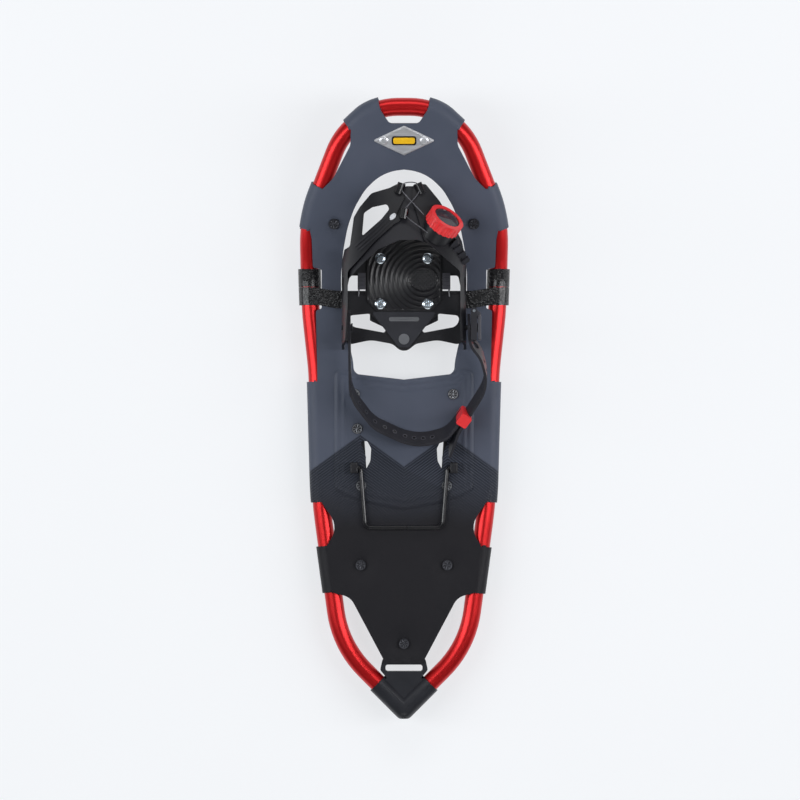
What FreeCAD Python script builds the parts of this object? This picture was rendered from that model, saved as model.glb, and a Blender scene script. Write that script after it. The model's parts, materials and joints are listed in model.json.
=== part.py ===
import FreeCAD, Part
import math
import os

# A snowshoe: +Y is the nose, +Z is up, X is across. The origin is the middle of its footprint.
V = FreeCAD.Vector
doc = FreeCAD.newDocument("snowshoe")
sheet = doc.addObject("Spreadsheet::Sheet", "Sheet")

DIMENSIONS = [
    ("tube_diameter", 18.4, "outer diameter of the frame tube"),
    ("tube_wall", 1.1, "wall of the frame tube"),
    ("tube_height", 30.0, "height of the tube's centre line above the crampon tips"),
    ("nose_start", 140.0, "where the nose begins to turn up"),
    ("nose_angle", 16.0, "how far the nose turns up, in degrees"),
    ("nose_bend", 120.0, "bend radius of the tube where the nose turns up"),
    ("skin_gap", 0.15, "play between the tube and whatever is wrapped round it"),
    ("deck_thickness", 1.8, "deck sheet"),
    ("deck_sink", 0.3, "how far the stretched sheet lies below the top of its hems"),
    ("pad_thickness", 1.2, "heel pad"),
    ("strap_thickness", 2.4, "suspension strap"),
    ("strap_width", 18.0, "suspension strap"),
    ("pivot_station", 113.5, "where the suspension strap crosses the shoe"),
    ("pivot_reach", 62.0, "half width of the strap's turning part"),
    ("base_thickness", 2.2, "harness base"),
    ("footbed_thickness", 4.0, "footbed"),
    ("footbed_half_width", 38.0, "footbed"),
    ("footbed_rear", 101.5, "rear edge of the footbed"),
    ("footbed_front", 176.0, "front edge of the footbed"),
    ("crampon_thickness", 2.0, "steel of both crampons"),
    ("rivet_head", 11.0, "diameter of the deck's rivet discs"),
    ("rivet_rise", 1.3, "height of the deck's rivet discs"),
    ("rivet_shank", 4.0, "shank diameter of the rivets"),
    ("screw_head", 11.0, "head diameter of the footbed screws"),
    ("screw_rise", 1.3, "head height of the footbed screws"),
    ("screw_shank", 4.8, "shank diameter of the footbed screws"),
    ("nut_width", 8.0, "across the flats of the footbed nuts"),
    ("nut_depth", 4.0, "height of the footbed nuts"),
    ("wing_thickness", 2.8, "wall of the harness wings"),
    ("bail_diameter", 4.5, "wire of the heel lift"),
    ("bail_station", -59.0, "hinge line of the heel lift"),
    ("bail_rise", 46.3, "height of the heel lift's hinge line"),
    ("hinge_play", 0.05, "radial clearance of every hinge"),
    ("heel_strap_width", 20.0, "heel strap"),
    ("heel_strap_thickness", 2.6, "heel strap"),
    ("swing_station", 84.0, "where the heel strap hinges on the wings"),
    ("swing_height", 80.0, "height of that hinge"),
    ("swing_pin", 5.0, "diameter of that hinge's pins"),
    ("dial_diameter", 37.0, "knurled ring of the lace dial"),
    ("dial_depth", 12.0, "depth of the dial's ring"),
    ("lace_diameter", 1.8, "lace"),
    ("badge_thickness", 1.0, "nose badge"),
]
for row, (alias, value, note) in enumerate(DIMENSIONS, 1):
    sheet.set("A%d" % row, note)
    sheet.set("B%d" % row, str(value))
    sheet.setAlias("B%d" % row, alias)
doc.recompute()


def size(alias):
    return float(sheet.get(alias))


# ---------------------------------------------------------------- helpers: lines, outlines and bodies
def rounded(points, radii, closed=False):
    """Straight runs joined by tangent arcs, one radius for each corner (0 leaves it sharp)."""
    count = len(points)
    corners = range(count) if closed else range(1, count - 1)
    arcs = {}
    for i in corners:
        radius = radii[i] if closed else radii[i - 1]
        corner = points[i]
        back = (points[i - 1] - corner).normalize()
        ahead = (points[(i + 1) % count] - corner).normalize()
        half = back.getAngle(ahead) / 2
        if radius <= 0 or half > math.radians(89.9):
            arcs[i] = (corner, None, corner)
            continue
        reach = radius / math.tan(half)
        room = min((points[i - 1] - corner).Length, (points[(i + 1) % count] - corner).Length)
        assert reach < room, ("no room for an arc at", corner, radius)
        inward = (back + ahead).normalize()
        middle = corner + inward * (radius / math.sin(half) - radius)
        arcs[i] = (corner + back * reach, middle, corner + ahead * reach)
    edges = []
    here = arcs[0][2] if closed else points[0]
    for i in list(range(1, count)) + ([0] if closed else []):
        start, middle, end = arcs.get(i, (points[i], None, points[i]))
        if here.distanceToPoint(start) > 1e-4:
            edges.append(Part.LineSegment(here, start))
        if middle is not None:
            edges.append(Part.Arc(start, middle, end))
        here = end
    return edges


def wire_of(edges):
    return Part.Wire([edge.toShape() for edge in edges])


def plan(points, radii, height=0.0):
    """A closed outline seen from above, as a face."""
    return Part.Face(wire_of(rounded([V(x, y, height) for x, y in points], radii, True)))


def prism(points, radii, low, high):
    return plan(points, radii, low).extrude(V(0, 0, high - low))


def side_prism(points, radii, left, right):
    """A closed outline in the side view (y, z), carried across from left to right."""
    edges = rounded([V(left, y, z) for y, z in points], radii, True)
    return Part.Face(wire_of(edges)).extrude(V(right - left, 0, 0))


def mirrored_outline(half):
    """A half outline that starts and ends on the middle line, with its mirror image added."""
    points = [p[:2] for p in half]
    radii = [p[2] for p in half]
    inner = [(x, y, r) for x, y, r in half if x > 1e-6]
    points += [(-x, y) for x, y, r in reversed(inner)]
    radii += [r for x, y, r in reversed(inner)]
    return points, radii


def flip(shape):
    """The mirror image on the shoe's other side."""
    return shape.mirror(V(0, 0, 0), V(1, 0, 0))


def pipe(edges, radius):
    """A round bar along a path."""
    path = wire_of(edges)
    start = path.Edges[0]
    heading = start.tangentAt(start.FirstParameter)
    ring = Part.Wire([Part.makeCircle(radius, start.valueAt(start.FirstParameter), heading)])
    return path.makePipeShell([ring], True, True)


def box(low, high):
    return Part.makeBox(high[0] - low[0], high[1] - low[1], high[2] - low[2], V(*low))


def feature(label, shape):
    """A piece whose form needs sweeps or lofts: a Part::Feature with its shape set here."""
    piece = doc.addObject("Part::Feature", label)
    piece.Label = label
    if shape.ShapeType == "Compound" and len(shape.Solids) == 1:
        shape = shape.Solids[0]
    piece.Shape = shape
    piece.Placement = shape.Placement
    return piece


def cylinder(name, radius, height, place):
    """A Part::Cylinder; radius and height are expressions on the sheet."""
    piece = doc.addObject("Part::Cylinder", name)
    piece.setExpression("Radius", radius)
    piece.setExpression("Height", height)
    piece.Placement = place
    return piece


def padded(label, edges, thickness, place, plane="XY_Plane"):
    """A PartDesign body: one sketched outline padded by a thickness from the sheet."""
    body = doc.addObject("PartDesign::Body", label)
    body.Label = label
    sketch = body.newObject("Sketcher::SketchObject", label + "_outline")
    sketch.AttachmentSupport = [(o, "") for o in body.Origin.OriginFeatures if o.Role == plane]
    sketch.MapMode = "FlatFace"
    for edge in edges:
        if hasattr(edge, "Axis") and edge.Axis.z < 0:
            edge = Part.Arc(edge.EndPoint, edge.value((edge.FirstParameter + edge.LastParameter) / 2),
                            edge.StartPoint)
        sketch.addGeometry(edge)
    pad = body.newObject("PartDesign::Pad", label + "_pad")
    pad.Profile = sketch
    pad.setExpression("Length", thickness)
    body.Placement = place
    doc.recompute()
    return body, pad


def pocket_circles(body, spots, diameter, depth, height):
    """Round holes pocketed down through a padded body; the spots are in the body's own frame."""
    sketch = body.newObject("Sketcher::SketchObject", body.Label + "_holes")
    sketch.AttachmentSupport = [(o, "") for o in body.Origin.OriginFeatures if o.Role == "XY_Plane"]
    sketch.MapMode = "FlatFace"
    sketch.AttachmentOffset = FreeCAD.Placement(V(0, 0, height), FreeCAD.Rotation())
    for x, y in spots:
        sketch.addGeometry(Part.Circle(V(x, y, 0), V(0, 0, 1), diameter / 2))
    doc.recompute()
    before = body.Shape.Volume
    pocket = body.newObject("PartDesign::Pocket", body.Label + "_pocket")
    pocket.Profile = sketch
    pocket.setExpression("Length", depth)
    doc.recompute()
    assert body.Shape.Volume < before - 1, body.Label
    return pocket


def at(x, y, z):
    return FreeCAD.Placement(V(x, y, z), FreeCAD.Rotation())


# ---------------------------------------------------------------- the levels everything sits on
tube_r = size("tube_diameter") / 2
tube_z = size("tube_height")
skin_in = tube_r + size("skin_gap")
skin_out = skin_in + size("deck_thickness")
deck_rise = skin_out - size("deck_sink")  # top of the sheet, square to the frame's plane
deck_top = tube_z + deck_rise
deck_under = deck_top - size("deck_thickness")
pad_top = deck_top + size("pad_thickness")
strap_low = deck_top + 0.35
strap_high = strap_low + size("strap_thickness")
flange_low = strap_low - size("crampon_thickness")
base_top = strap_high + size("base_thickness")
footbed_top = base_top + size("footbed_thickness")
pivot_y = size("pivot_station")
pivot_z = (strap_low + strap_high) / 2
nose_y = size("nose_start")
nose_tan = math.tan(math.radians(size("nose_angle")))
nose_turn = FreeCAD.Rotation(V(1, 0, 0), size("nose_angle"))


def on_nose(x, y, above=0.0):
    """The point over (x, y) on the turned-up plane, at a height square to that plane."""
    base = V(x, y, tube_z + max(0.0, y - nose_y) * nose_tan)
    return base + nose_turn.multVec(V(0, 0, above)) if y > nose_y else base + V(0, 0, above)


# ---------------------------------------------------------------- frame tube
# Half of the tube's centre line, tail to nose: the point across, the station and the bend radius.
TUBE_HALF = [
    (0.0, -307.8, 0),
    (65.4, -242.4, 105),
    (85.5, -94.2, 400),
    (89.3, 40.0, 300),
    (95.9, 100.0, 300),
    (97.2, nose_y, size("nose_bend")),
    (98.2, 194.8, 141),
    (65.0, 277.8, 71),
    (31.4, 308.3, 63),
]
tail_cut = 9.0  # how far each tube end stops short of the point of the V


def tube_path(trim):
    """The tube's whole centre line, with both ends trimmed back from the point of the V."""
    half = [on_nose(x, y) for x, y, r in TUBE_HALF]
    half[0] = half[0] + (half[1] - half[0]).normalize() * trim
    radii = [r for x, y, r in TUBE_HALF[1:]]
    other = [V(-p.x, p.y, p.z) for p in reversed(half)]
    return rounded(half + other, radii + list(reversed(radii)))


bore_r = tube_r - size("tube_wall")
feature("frame_tube", pipe(tube_path(tail_cut), tube_r).cut(pipe(tube_path(tail_cut), bore_r)))

# ---------------------------------------------------------------- tail cap
CAP_HALF = [
    (0.0, -318.5, 5), (33.2, -287.0, 2), (21.0, -275.5, 1), (16.5, -276.5, 0.8), (24.5, -267.0, 3),
    (22.0, -255.5, 3), (0.0, -255.5, 0),
]
leg_mouth = V(27.0, -280.8, tube_z)
leg_point = V(0, -307.8, tube_z)
cap_r = tube_r + 1.6
leg_heading = (leg_mouth - leg_point).normalize()
cap_leg = Part.makeCylinder(cap_r, leg_mouth.distanceToPoint(leg_point), leg_point, leg_heading)
cap_points, cap_radii = mirrored_outline(CAP_HALF)
cap_plate = prism(cap_points, cap_radii, tube_z - 1, tube_z + 7)
hang_slot = prism([(-19, -268.3), (19, -268.3), (19, -261.5), (-19, -261.5)], [2.5] * 4, 0, 60)
cap_tip = Part.makeSphere(cap_r, leg_point)
tail_cap = cap_plate.fuse([cap_leg, flip(cap_leg), cap_tip]).cut(hang_slot)
tail_bound = box((-60, -317.5, 0), (60, -200, 60))
tail_cap = tail_cap.common(tail_bound).cut(pipe(tube_path(tail_cut), tube_r))
tail_cap = tail_cap.cut(pipe(tube_path(tail_cut), bore_r))
feature("tail_cap", max(tail_cap.Solids, key=lambda s: s.Volume))

# ---------------------------------------------------------------- deck
# Half of the deck's cut edge, nose to tail. On the hems it stops just inside the tube's centre line.
DECK_HALF = [
    (0.0, 294.0, 0), (15.0, 294.0, 5), (24.0, 307.3, 0), (31.0, 307.3, 15), (54.0, 286.6, 0),
    (54.5, 272.0, 12), (72.0, 239.0, 30), (83.0, 228.5, 0), (97.0, 194.6, 35), (96.7, 184.0, 0),
    (94.5, 178.0, 4), (93.5, 152.0, 3), (82.0, 150.0, 3), (82.0, 103.0, 3), (90.5, 101.0, 3),
    (89.0, 36.0, 6), (88.0, 30.0, 0), (84.5, -94.2, 0), (68.0, -119.5, 20), (78.4, -139.0, 0),
    (71.5, -188.0, 0), (55.0, -192.0, 15), (20.0, -258.0, 3), (20.0, -259.5, 0), (0.0, -259.5, 0),
]
TOE_HOLE_HALF = [
    (0.0, 244.7, 0), (22.0, 244.7, 36), (50.0, 216.0, 55), (64.6, 164.0, 110), (64.6, 110.0, 100),
    (52.5, 60.0, 80), (51.5, 37.5, 9), (0.0, 31.5, 0),
]
HOOK_SLOT = [(-45.0, -31.7), (-37.8, -31.7), (-33.7, -39.0), (-34.5, -52.0), (-39.9, -62.4), (-39.0, -48.0)]
deck_mid = deck_rise - size("deck_thickness") / 2


def profile(above, half_thickness):
    """The side view of a sheet lying above the tube's centre line: flat, bent, then up the nose."""
    outline = []
    radii = []
    for level, turn in ((above - half_thickness, 1), (above + half_thickness, -1)):
        bend = V(0, nose_y - level * math.tan(math.radians(size("nose_angle") / 2)), tube_z + level)
        end = bend + nose_turn.multVec(V(0, 220, 0))
        run = [(-330, tube_z + level), (bend.y, bend.z), (end.y, end.z)]
        outline += run if turn > 0 else reversed(run)
        radii += [0, size("nose_bend") - level, 0]
    return outline, radii


deck_points, deck_radii = mirrored_outline(DECK_HALF)
hole_points, hole_radii = mirrored_outline(TOE_HOLE_HALF)
slab = side_prism(*profile(deck_mid, size("deck_thickness") / 2), -130, 130)
toe_hole = prism(hole_points, hole_radii, 0, 160)
hook_slots = [prism(HOOK_SLOT, [2, 2, 5, 8, 1, 6], 0, 80)]
hook_slots.append(flip(hook_slots[0]))
cut_sheet = slab.common(prism(deck_points, deck_radii, 0, 160)).cut([toe_hole] + hook_slots)
sleeve = pipe(tube_path(12), skin_out)
core = pipe(tube_path(9.5), skin_in)
HEMS = [  # nose, shoulder, waist and rear hems: from and to, across and along
    ((25.0, 280.0), (54.5, 330.0)),
    ((60.0, 187.0), (130.0, 223.0)),
    ((60.0, -89.0), (130.0, 30.0)),
    ((50.0, -188.0), (130.0, -140.0)),
]
hem_zones = [box((a[0], a[1], 0), (b[0], b[1], 160)) for a, b in HEMS]
hem_zones += [flip(zone) for zone in hem_zones]
hems = [sleeve.common(zone) for zone in hem_zones]
deck_shape = cut_sheet.fuse(hems).cut(core)
deck_shape = max(deck_shape.Solids, key=lambda s: s.Volume)

PAD_RIVETS = [(50.5, 16.5), (48.0, -19.0), (44.0, -77.5)]
SHOULDER_RIVETS = [(71.5, 193.5)]
REAR_RIVETS = [(44.5, -159.0)]
TAIL_RIVET = [(0.0, -239.7)]
BADGE_RIVETS = [(20.5, 277.0)]
SCREWS = [(24.2, 155.6), (24.2, 109.1)]


def both_sides(spots):
    return [(sign * x, y) for x, y in spots for sign in (1, -1)] if spots[0][0] else spots


def drilled(shape, spots, diameter):
    """Straight holes for shanks, square to the sheet where they go through it."""
    bits = []
    for x, y in both_sides(spots):
        axis = nose_turn.multVec(V(0, 0, 1)) if y > nose_y + 40 else V(0, 0, 1)
        start = on_nose(x, y, deck_mid if y > nose_y + 40 else 0) - axis * 30
        bits.append(Part.makeCylinder(diameter / 2, 60, start, axis))
    return shape.cut(bits)


shank = size("rivet_shank")
for spots in (PAD_RIVETS, SHOULDER_RIVETS, REAR_RIVETS, TAIL_RIVET, BADGE_RIVETS):
    deck_shape = drilled(deck_shape, spots, shank)
feature("deck", deck_shape)


def rivets(label, spots, seat, grip):
    """A group of rivets: a disc on top, a shank, and a smaller upset disc below."""
    parts = []
    for x, y in both_sides(spots):
        name = "%s_%d" % (label, len(parts) + 1)
        tilted = y > nose_y + 40
        turn = nose_turn if tilted else FreeCAD.Rotation()
        top = on_nose(x, y, seat - tube_z)
        below = top - turn.multVec(V(0, 0, grip))
        tail = below - turn.multVec(V(0, 0, size("rivet_rise")))
        head = cylinder(name + "_head", "Sheet.rivet_head / 2", "Sheet.rivet_rise", FreeCAD.Placement(top, turn))
        stem = cylinder(name + "_stem", "Sheet.rivet_shank / 2", "%g" % grip, FreeCAD.Placement(below, turn))
        upset = cylinder(name + "_upset", "Sheet.rivet_head * 0.36", "Sheet.rivet_rise",
                         FreeCAD.Placement(tail, turn))
        fused = doc.addObject("Part::MultiFuse", name)
        fused.Shapes = [head, stem, upset]
        parts.append(fused)
    if len(parts) == 1:
        parts[0].Label = label
        return
    group = doc.addObject("Part::Compound", label)
    group.Label = label
    group.Links = parts


flange = size("crampon_thickness")
rivets("shoulder_rivets", SHOULDER_RIVETS, deck_top, size("deck_thickness"))
rivets("rear_rivets", REAR_RIVETS, deck_top, size("deck_thickness"))
rivets("tail_rivet", TAIL_RIVET, deck_top, size("deck_thickness"))
rivets("pad_rivets", PAD_RIVETS, pad_top, size("pad_thickness") + size("deck_thickness") + flange)
rivets("badge_rivets", BADGE_RIVETS, deck_top + size("badge_thickness"),
       size("deck_thickness") + size("badge_thickness"))

# ---------------------------------------------------------------- nose badge and heel pad
badge_place = FreeCAD.Placement(on_nose(0, 277.0, deck_rise), nose_turn)
badge_edges = rounded([V(-32, 0, 0), V(0, -15.4, 0), V(32, 0, 0), V(0, 15.4, 0)], [5, 9, 5, 9], True)
badge, badge_pad = padded("nose_badge", badge_edges, "Sheet.badge_thickness", badge_place)
pocket_circles(badge, [(-20.5, 0), (20.5, 0)], shank, "Sheet.badge_thickness", size("badge_thickness"))

PAD_HALF = [
    (0.0, 31.5, 0), (51.5, 37.5, 9), (55.5, 41.5, 2), (71.6, 41.5, 12), (71.6, -82.0, 18),
    (60.0, -88.0, 14), (36.0, -96.0, 14), (0.0, -103.0, 30),
]
pad_points, pad_radii = mirrored_outline(PAD_HALF)
pad_radii[0] = 0
pad_edges = rounded([V(x, y, 0) for x, y in pad_points], pad_radii, True)
heel_pad, pad_feature = padded("heel_pad", pad_edges, "Sheet.pad_thickness", at(0, 0, deck_top))
pocket_circles(heel_pad, both_sides(PAD_RIVETS), shank, "Sheet.pad_thickness", size("pad_thickness"))
slot_sketch = heel_pad.newObject("Sketcher::SketchObject", "hook_slot_outline")
slot_sketch.AttachmentSupport = [(o, "") for o in heel_pad.Origin.OriginFeatures if o.Role == "XY_Plane"]
slot_sketch.MapMode = "FlatFace"
slot_sketch.AttachmentOffset = FreeCAD.Placement(V(0, 0, size("pad_thickness")), FreeCAD.Rotation())
for side in (1, -1):
    corners = [V(side * x, y, 0) for x, y in HOOK_SLOT]
    for edge in rounded(corners, [0] * len(corners), True):
        slot_sketch.addGeometry(edge)
doc.recompute()
solid_pad = heel_pad.Shape.Volume
slot_pocket = heel_pad.newObject("PartDesign::Pocket", "hook_slots")
slot_pocket.Profile = slot_sketch
slot_pocket.setExpression("Length", "Sheet.pad_thickness")
doc.recompute()
assert heel_pad.Shape.Volume < solid_pad - 100

# ---------------------------------------------------------------- heel crampon: two toothed rails
RAIL_FRONT = (57.5, 27.0)
RAIL_REAR = (49.5, -92.0)
RAIL_TEETH = 5


def toothed(length, height, teeth, depth, thickness):
    """A blade in its own frame: x along it, z down to its tips at 0."""
    pitch = length / teeth
    points = [(0, height), (length, height)]
    for i in reversed(range(teeth)):
        start = i * pitch
        points += [(start + pitch * 0.92, depth), (start + pitch * 0.62, 0.0),
                   (start + pitch * 0.38, 0.0), (start + pitch * 0.08, depth)]
    corners = [V(x, 0, z) for x, z in points]
    face = Part.Face(wire_of(rounded(corners, [0] * len(corners), True)))
    return face.extrude(V(0, thickness, 0))


def heel_rail():
    run = V(RAIL_FRONT[0] - RAIL_REAR[0], RAIL_FRONT[1] - RAIL_REAR[1], 0)
    blade = toothed(run.Length, deck_under, RAIL_TEETH, 17.0, flange)
    shelf = box((0, 0, deck_under - flange), (run.Length, 13.0, deck_under))
    window = box((18, -20, 22), (run.Length - 18, 20, 31))
    rail = blade.cut(window).fuse(shelf)
    rail.rotate(V(0, 0, 0), V(0, 0, 1), math.degrees(math.atan2(run.y, run.x)))
    rail.translate(V(RAIL_REAR[0], RAIL_REAR[1], 0))
    return drilled(rail, PAD_RIVETS, shank).removeSplitter()


right_rail = heel_rail()
feature("heel_crampon_right", right_rail)
feature("heel_crampon_left", flip(right_rail))

# ---------------------------------------------------------------- heel lift bail and its clips
bail_y = size("bail_station")
bail_z = size("bail_rise")
bail_r = size("bail_diameter") / 2
BAIL = [(52.0, bail_y), (44.5, bail_y), (39.7, -120.5)]
bail_line = [V(x, y, bail_z) for x, y in BAIL] + [V(-x, y, bail_z) for x, y in reversed(BAIL)]
feature("heel_lift_bail", pipe(rounded(bail_line, [3.2, 8, 8, 3.2]), bail_r))


def bail_clip():
    body = box((47.3, bail_y - 5.5, pad_top), (55.0, bail_y + 5.5, bail_z + bail_r + 1.8))
    rim = [e for e in body.Edges if abs(e.BoundBox.ZMin - body.BoundBox.ZMax) < 1e-6]
    body = body.makeFillet(1.4, rim)
    bore = Part.makeCylinder(bail_r + size("hinge_play"), 5.2, V(47.2, bail_y, bail_z), V(1, 0, 0))
    return body.cut(bore)


right_clip = bail_clip()
feature("heel_lift_clip_right", right_clip)
feature("heel_lift_clip_left", flip(right_clip))

# ---------------------------------------------------------------- suspension strap
reach = size("pivot_reach")
strap_half = size("strap_width") / 2


def strap_wrap():
    """The strap's fixed end: two turns round the tube side by side, and the run towards the binding."""
    wound = pipe(tube_path(12), skin_in + size("strap_thickness"))
    front = box((70, pivot_y + 13.3, 0), (120, pivot_y + 31.5, 90))
    rear = box((70, pivot_y - 5.5, 0), (120, pivot_y + 12.9, 90))
    bridge = box((86, pivot_y + 12.8, tube_z - 14), (92, pivot_y + 13.4, tube_z))
    turns = wound.common(front).fuse([wound.common(rear), wound.common(bridge)])
    run_low = strap_low
    run = prism([(98, pivot_y - 3.5), (98, pivot_y + 13), (70, pivot_y + strap_half),
                 (reach + 0.5, pivot_y + strap_half), (reach + 0.5, pivot_y - strap_half),
                 (70, pivot_y - strap_half)], [0] * 6, run_low, strap_high)
    wrap = turns.fuse(run).cut(pipe(tube_path(9.5), skin_in))
    return wrap.removeSplitter()


right_wrap = strap_wrap().cut(deck_shape)
right_wrap = max(right_wrap.Solids, key=lambda s: s.Volume)
feature("suspension_wrap_right", right_wrap)
feature("suspension_wrap_left", flip(right_wrap))

STRAP_CORE = [
    (0.0, 162.0, 0), (34.0, 162.0, 6), (34.0, pivot_y + strap_half, 6), (reach, pivot_y + strap_half, 0),
    (reach, pivot_y - strap_half, 0), (30.0, pivot_y - strap_half, 1), (30.0, 102.0, 1), (0.0, 102.0, 0),
]
core_points, core_radii = mirrored_outline(STRAP_CORE)
core_edges = rounded([V(x, y, 0) for x, y in core_points], core_radii, True)
strap, strap_pad = padded("suspension_strap", core_edges, "Sheet.strap_thickness", at(0, 0, strap_low))
pocket_circles(strap, both_sides(SCREWS), size("screw_shank"), "Sheet.strap_thickness", size("strap_thickness"))

# ---------------------------------------------------------------- footbed and its fasteners
foot_half = size("footbed_half_width")
foot_rear = size("footbed_rear")
foot_front = size("footbed_front")
FOOTBED_HALF = [
    (0.0, foot_front, 0), (foot_half, foot_front, 14), (foot_half, foot_rear + 12.5, 3),
    (foot_half - 8, foot_rear, 3), (0.0, foot_rear, 0),
]
foot_points, foot_radii = mirrored_outline(FOOTBED_HALF)
foot_edges = rounded([V(x, y, 0) for x, y in foot_points], foot_radii, True)
footbed, foot_pad = padded("footbed", foot_edges, "Sheet.footbed_thickness", at(0, 0, base_top))
soften = footbed.newObject("PartDesign::Fillet", "footbed_rim")
top_edges = ["Edge%d" % (i + 1) for i, e in enumerate(foot_pad.Shape.Edges)
             if e.BoundBox.ZMin > size("footbed_thickness") - 1e-6]
soften.Base = (foot_pad, top_edges)
soften.Radius = 1.2
doc.recompute()
pocket_circles(footbed, both_sides(SCREWS), size("screw_shank"), "Sheet.footbed_thickness",
               size("footbed_thickness"))

screws = []
nuts = []
for x, y in both_sides(SCREWS):
    tag = "%d" % (len(screws) + 1)
    foot = flange_low - size("nut_depth")
    head = doc.addObject("Part::Cone", "screw_head_" + tag)
    head.setExpression("Radius1", "Sheet.screw_head / 2")
    head.setExpression("Radius2", "Sheet.screw_head / 2 - Sheet.screw_rise")
    head.setExpression("Height", "Sheet.screw_rise")
    head.Placement = at(x, y, footbed_top)
    stem = cylinder("screw_stem_" + tag, "Sheet.screw_shank / 2", "%g" % (footbed_top - foot + 1.5),
                    at(x, y, foot - 1.5))
    screw = doc.addObject("Part::MultiFuse", "footbed_screw_" + tag)
    screw.Shapes = [head, stem]
    screws.append(screw)
    hexagon = doc.addObject("Part::Prism", "nut_body_" + tag)
    hexagon.Polygon = 6
    hexagon.setExpression("Circumradius", "Sheet.nut_width / sqrt(3)")
    hexagon.setExpression("Height", "Sheet.nut_depth")
    hexagon.Placement = at(x, y, foot)
    bore = cylinder("nut_bore_" + tag, "Sheet.screw_shank / 2", "Sheet.nut_depth", at(x, y, foot))
    nut = doc.addObject("Part::Cut", "footbed_nut_" + tag)
    nut.Base = hexagon
    nut.Tool = bore
    nuts.append(nut)
for label, members in (("footbed_screws", screws), ("footbed_nuts", nuts)):
    group = doc.addObject("Part::Compound", label)
    group.Label = label
    group.Links = members

# ---------------------------------------------------------------- toe crampon
CRAMPON_HALF = [
    (0.0, 197.0, 0), (9.0, 197.0, 2), (15.0, 176.0, 5), (35.0, 172.0, 4), (35.0, 92.0, 3),
    (18.0, 84.0, 4), (0.0, 84.0, 0),
]
crampon_points, crampon_radii = mirrored_outline(CRAMPON_HALF)
crampon_sole = prism(crampon_points, crampon_radii, flange_low, strap_low)
side_blade = toothed(80.0, strap_low, 4, 20.0, flange)
side_blade = side_blade.cut(box((16, -5, 24), (64, 5, 33)))
side_blade.rotate(V(0, 0, 0), V(0, 0, 1), 90)
side_blade.translate(V(35.0, 92.0, 0))
front_blade = toothed(26.0, strap_low, 2, 16.0, flange)
front_blade.translate(V(7.0, 172.0, 0))
toe_crampon = crampon_sole.fuse([side_blade, flip(side_blade), front_blade, flip(front_blade)])
feature("toe_crampon", drilled(toe_crampon, SCREWS, size("screw_shank")).removeSplitter())

# ---------------------------------------------------------------- harness base and rear clamp plate
BASE_HALF = [
    (0.0, 176.0, 0), (40.0, 176.0, 5), (44.0, 162.0, 5), (62.0, 156.0, 4), (62.0, 66.0, 8),
    (34.0, 72.0, 30), (12.0, 68.0, 12), (0.0, 58.0, 10),
]
base_points, base_radii = mirrored_outline(BASE_HALF)
SIDE_WINDOW = [(39.5, 138.0), (55.5, 138.0), (58.5, 124.0), (56.0, 119.0), (39.5, 117.5)]
REAR_WINDOW = [(36.0, 99.0), (57.0, 97.0), (55.0, 86.0), (20.0, 79.5), (18.0, 84.0)]
windows = [prism(SIDE_WINDOW, [2, 3, 6, 4, 1], 0, 90), prism(REAR_WINDOW, [3, 4, 9, 2, 2], 0, 90)]
windows += [flip(w) for w in windows]
clamp_spot = [(0.0, 72.9)]
base_shape = prism(base_points, base_radii, strap_high, base_top).cut(windows)
base_shape = drilled(drilled(base_shape, SCREWS, size("screw_shank")), clamp_spot, shank)
feature("harness_base", base_shape)

clamp_half = [(0.0, foot_rear - 0.5, 0), (34.0, foot_rear - 0.5, 2), (5.5, 64.5, 3), (0.0, 64.5, 0)]
clamp_points, clamp_radii = mirrored_outline(clamp_half)
clamp_edges = rounded([V(x, y, 0) for x, y in clamp_points], clamp_radii, True)
clamp, clamp_pad = padded("rear_clamp_plate", clamp_edges, "Sheet.crampon_thickness", at(0, 0, base_top))
pocket_circles(clamp, clamp_spot, shank, "Sheet.crampon_thickness", size("crampon_thickness"))
rivets("clamp_rivet", clamp_spot, base_top + flange, flange + size("base_thickness"))

# ---------------------------------------------------------------- harness wings and vamp pad
WALL_RISE = 24.0  # straight part of the wings' sides, below the arch
ARCH = [  # station, half width and height above the base of the tunnel that a boot's toe fills
    (56.0, 63.5, 92.0),
    (150.0, 63.5, 72.0),
    (236.0, 46.0, 45.0),
]


def tunnel(inset, sink):
    """The boot's tunnel as a solid: straight sides, an elliptic arch, narrowing towards the toe."""
    rings = []
    for station, width, height in ARCH:
        a = width - inset
        spring = base_top + WALL_RISE
        rise = height - inset - WALL_RISE
        centre = V(0, station, spring)
        if rise > a:
            curve = Part.Ellipse(centre + V(0, 0, rise), centre + V(a, 0, 0), centre)
        else:
            curve = Part.Ellipse(centre + V(a, 0, 0), centre + V(0, 0, rise), centre)
        span = curve.LastParameter - curve.FirstParameter
        low = -span / 4 if rise > a else 0
        arc = Part.ArcOfEllipse(curve, low, low + span / 2).toShape()
        ends = sorted((v.Point for v in arc.Vertexes), key=lambda p: p.x)
        floor = base_top - sink
        left = V(ends[0].x, station, floor)
        right = V(ends[1].x, station, floor)
        sides = [Part.makeLine(left, ends[0]), arc, Part.makeLine(ends[1], right), Part.makeLine(right, left)]
        rings.append(Part.Wire(Part.__sortEdges__(sides)))
    return Part.makeLoft(rings, True, True)


def arch_height(x, y, inset=0.0):
    """Height of the tunnel's skin over the point (x, y)."""
    pairs = zip(ARCH[:-1], ARCH[1:])
    (y0, a0, h0), (y1, a1, h1) = next(p for p in pairs if p[1][0] >= y - 1e-9)
    t = (y - y0) / (y1 - y0)
    a = a0 + (a1 - a0) * t - inset
    rise = h0 + (h1 - h0) * t - inset - WALL_RISE
    return base_top + WALL_RISE + rise * math.sqrt(max(0.0, 1 - (x / a) ** 2))


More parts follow.
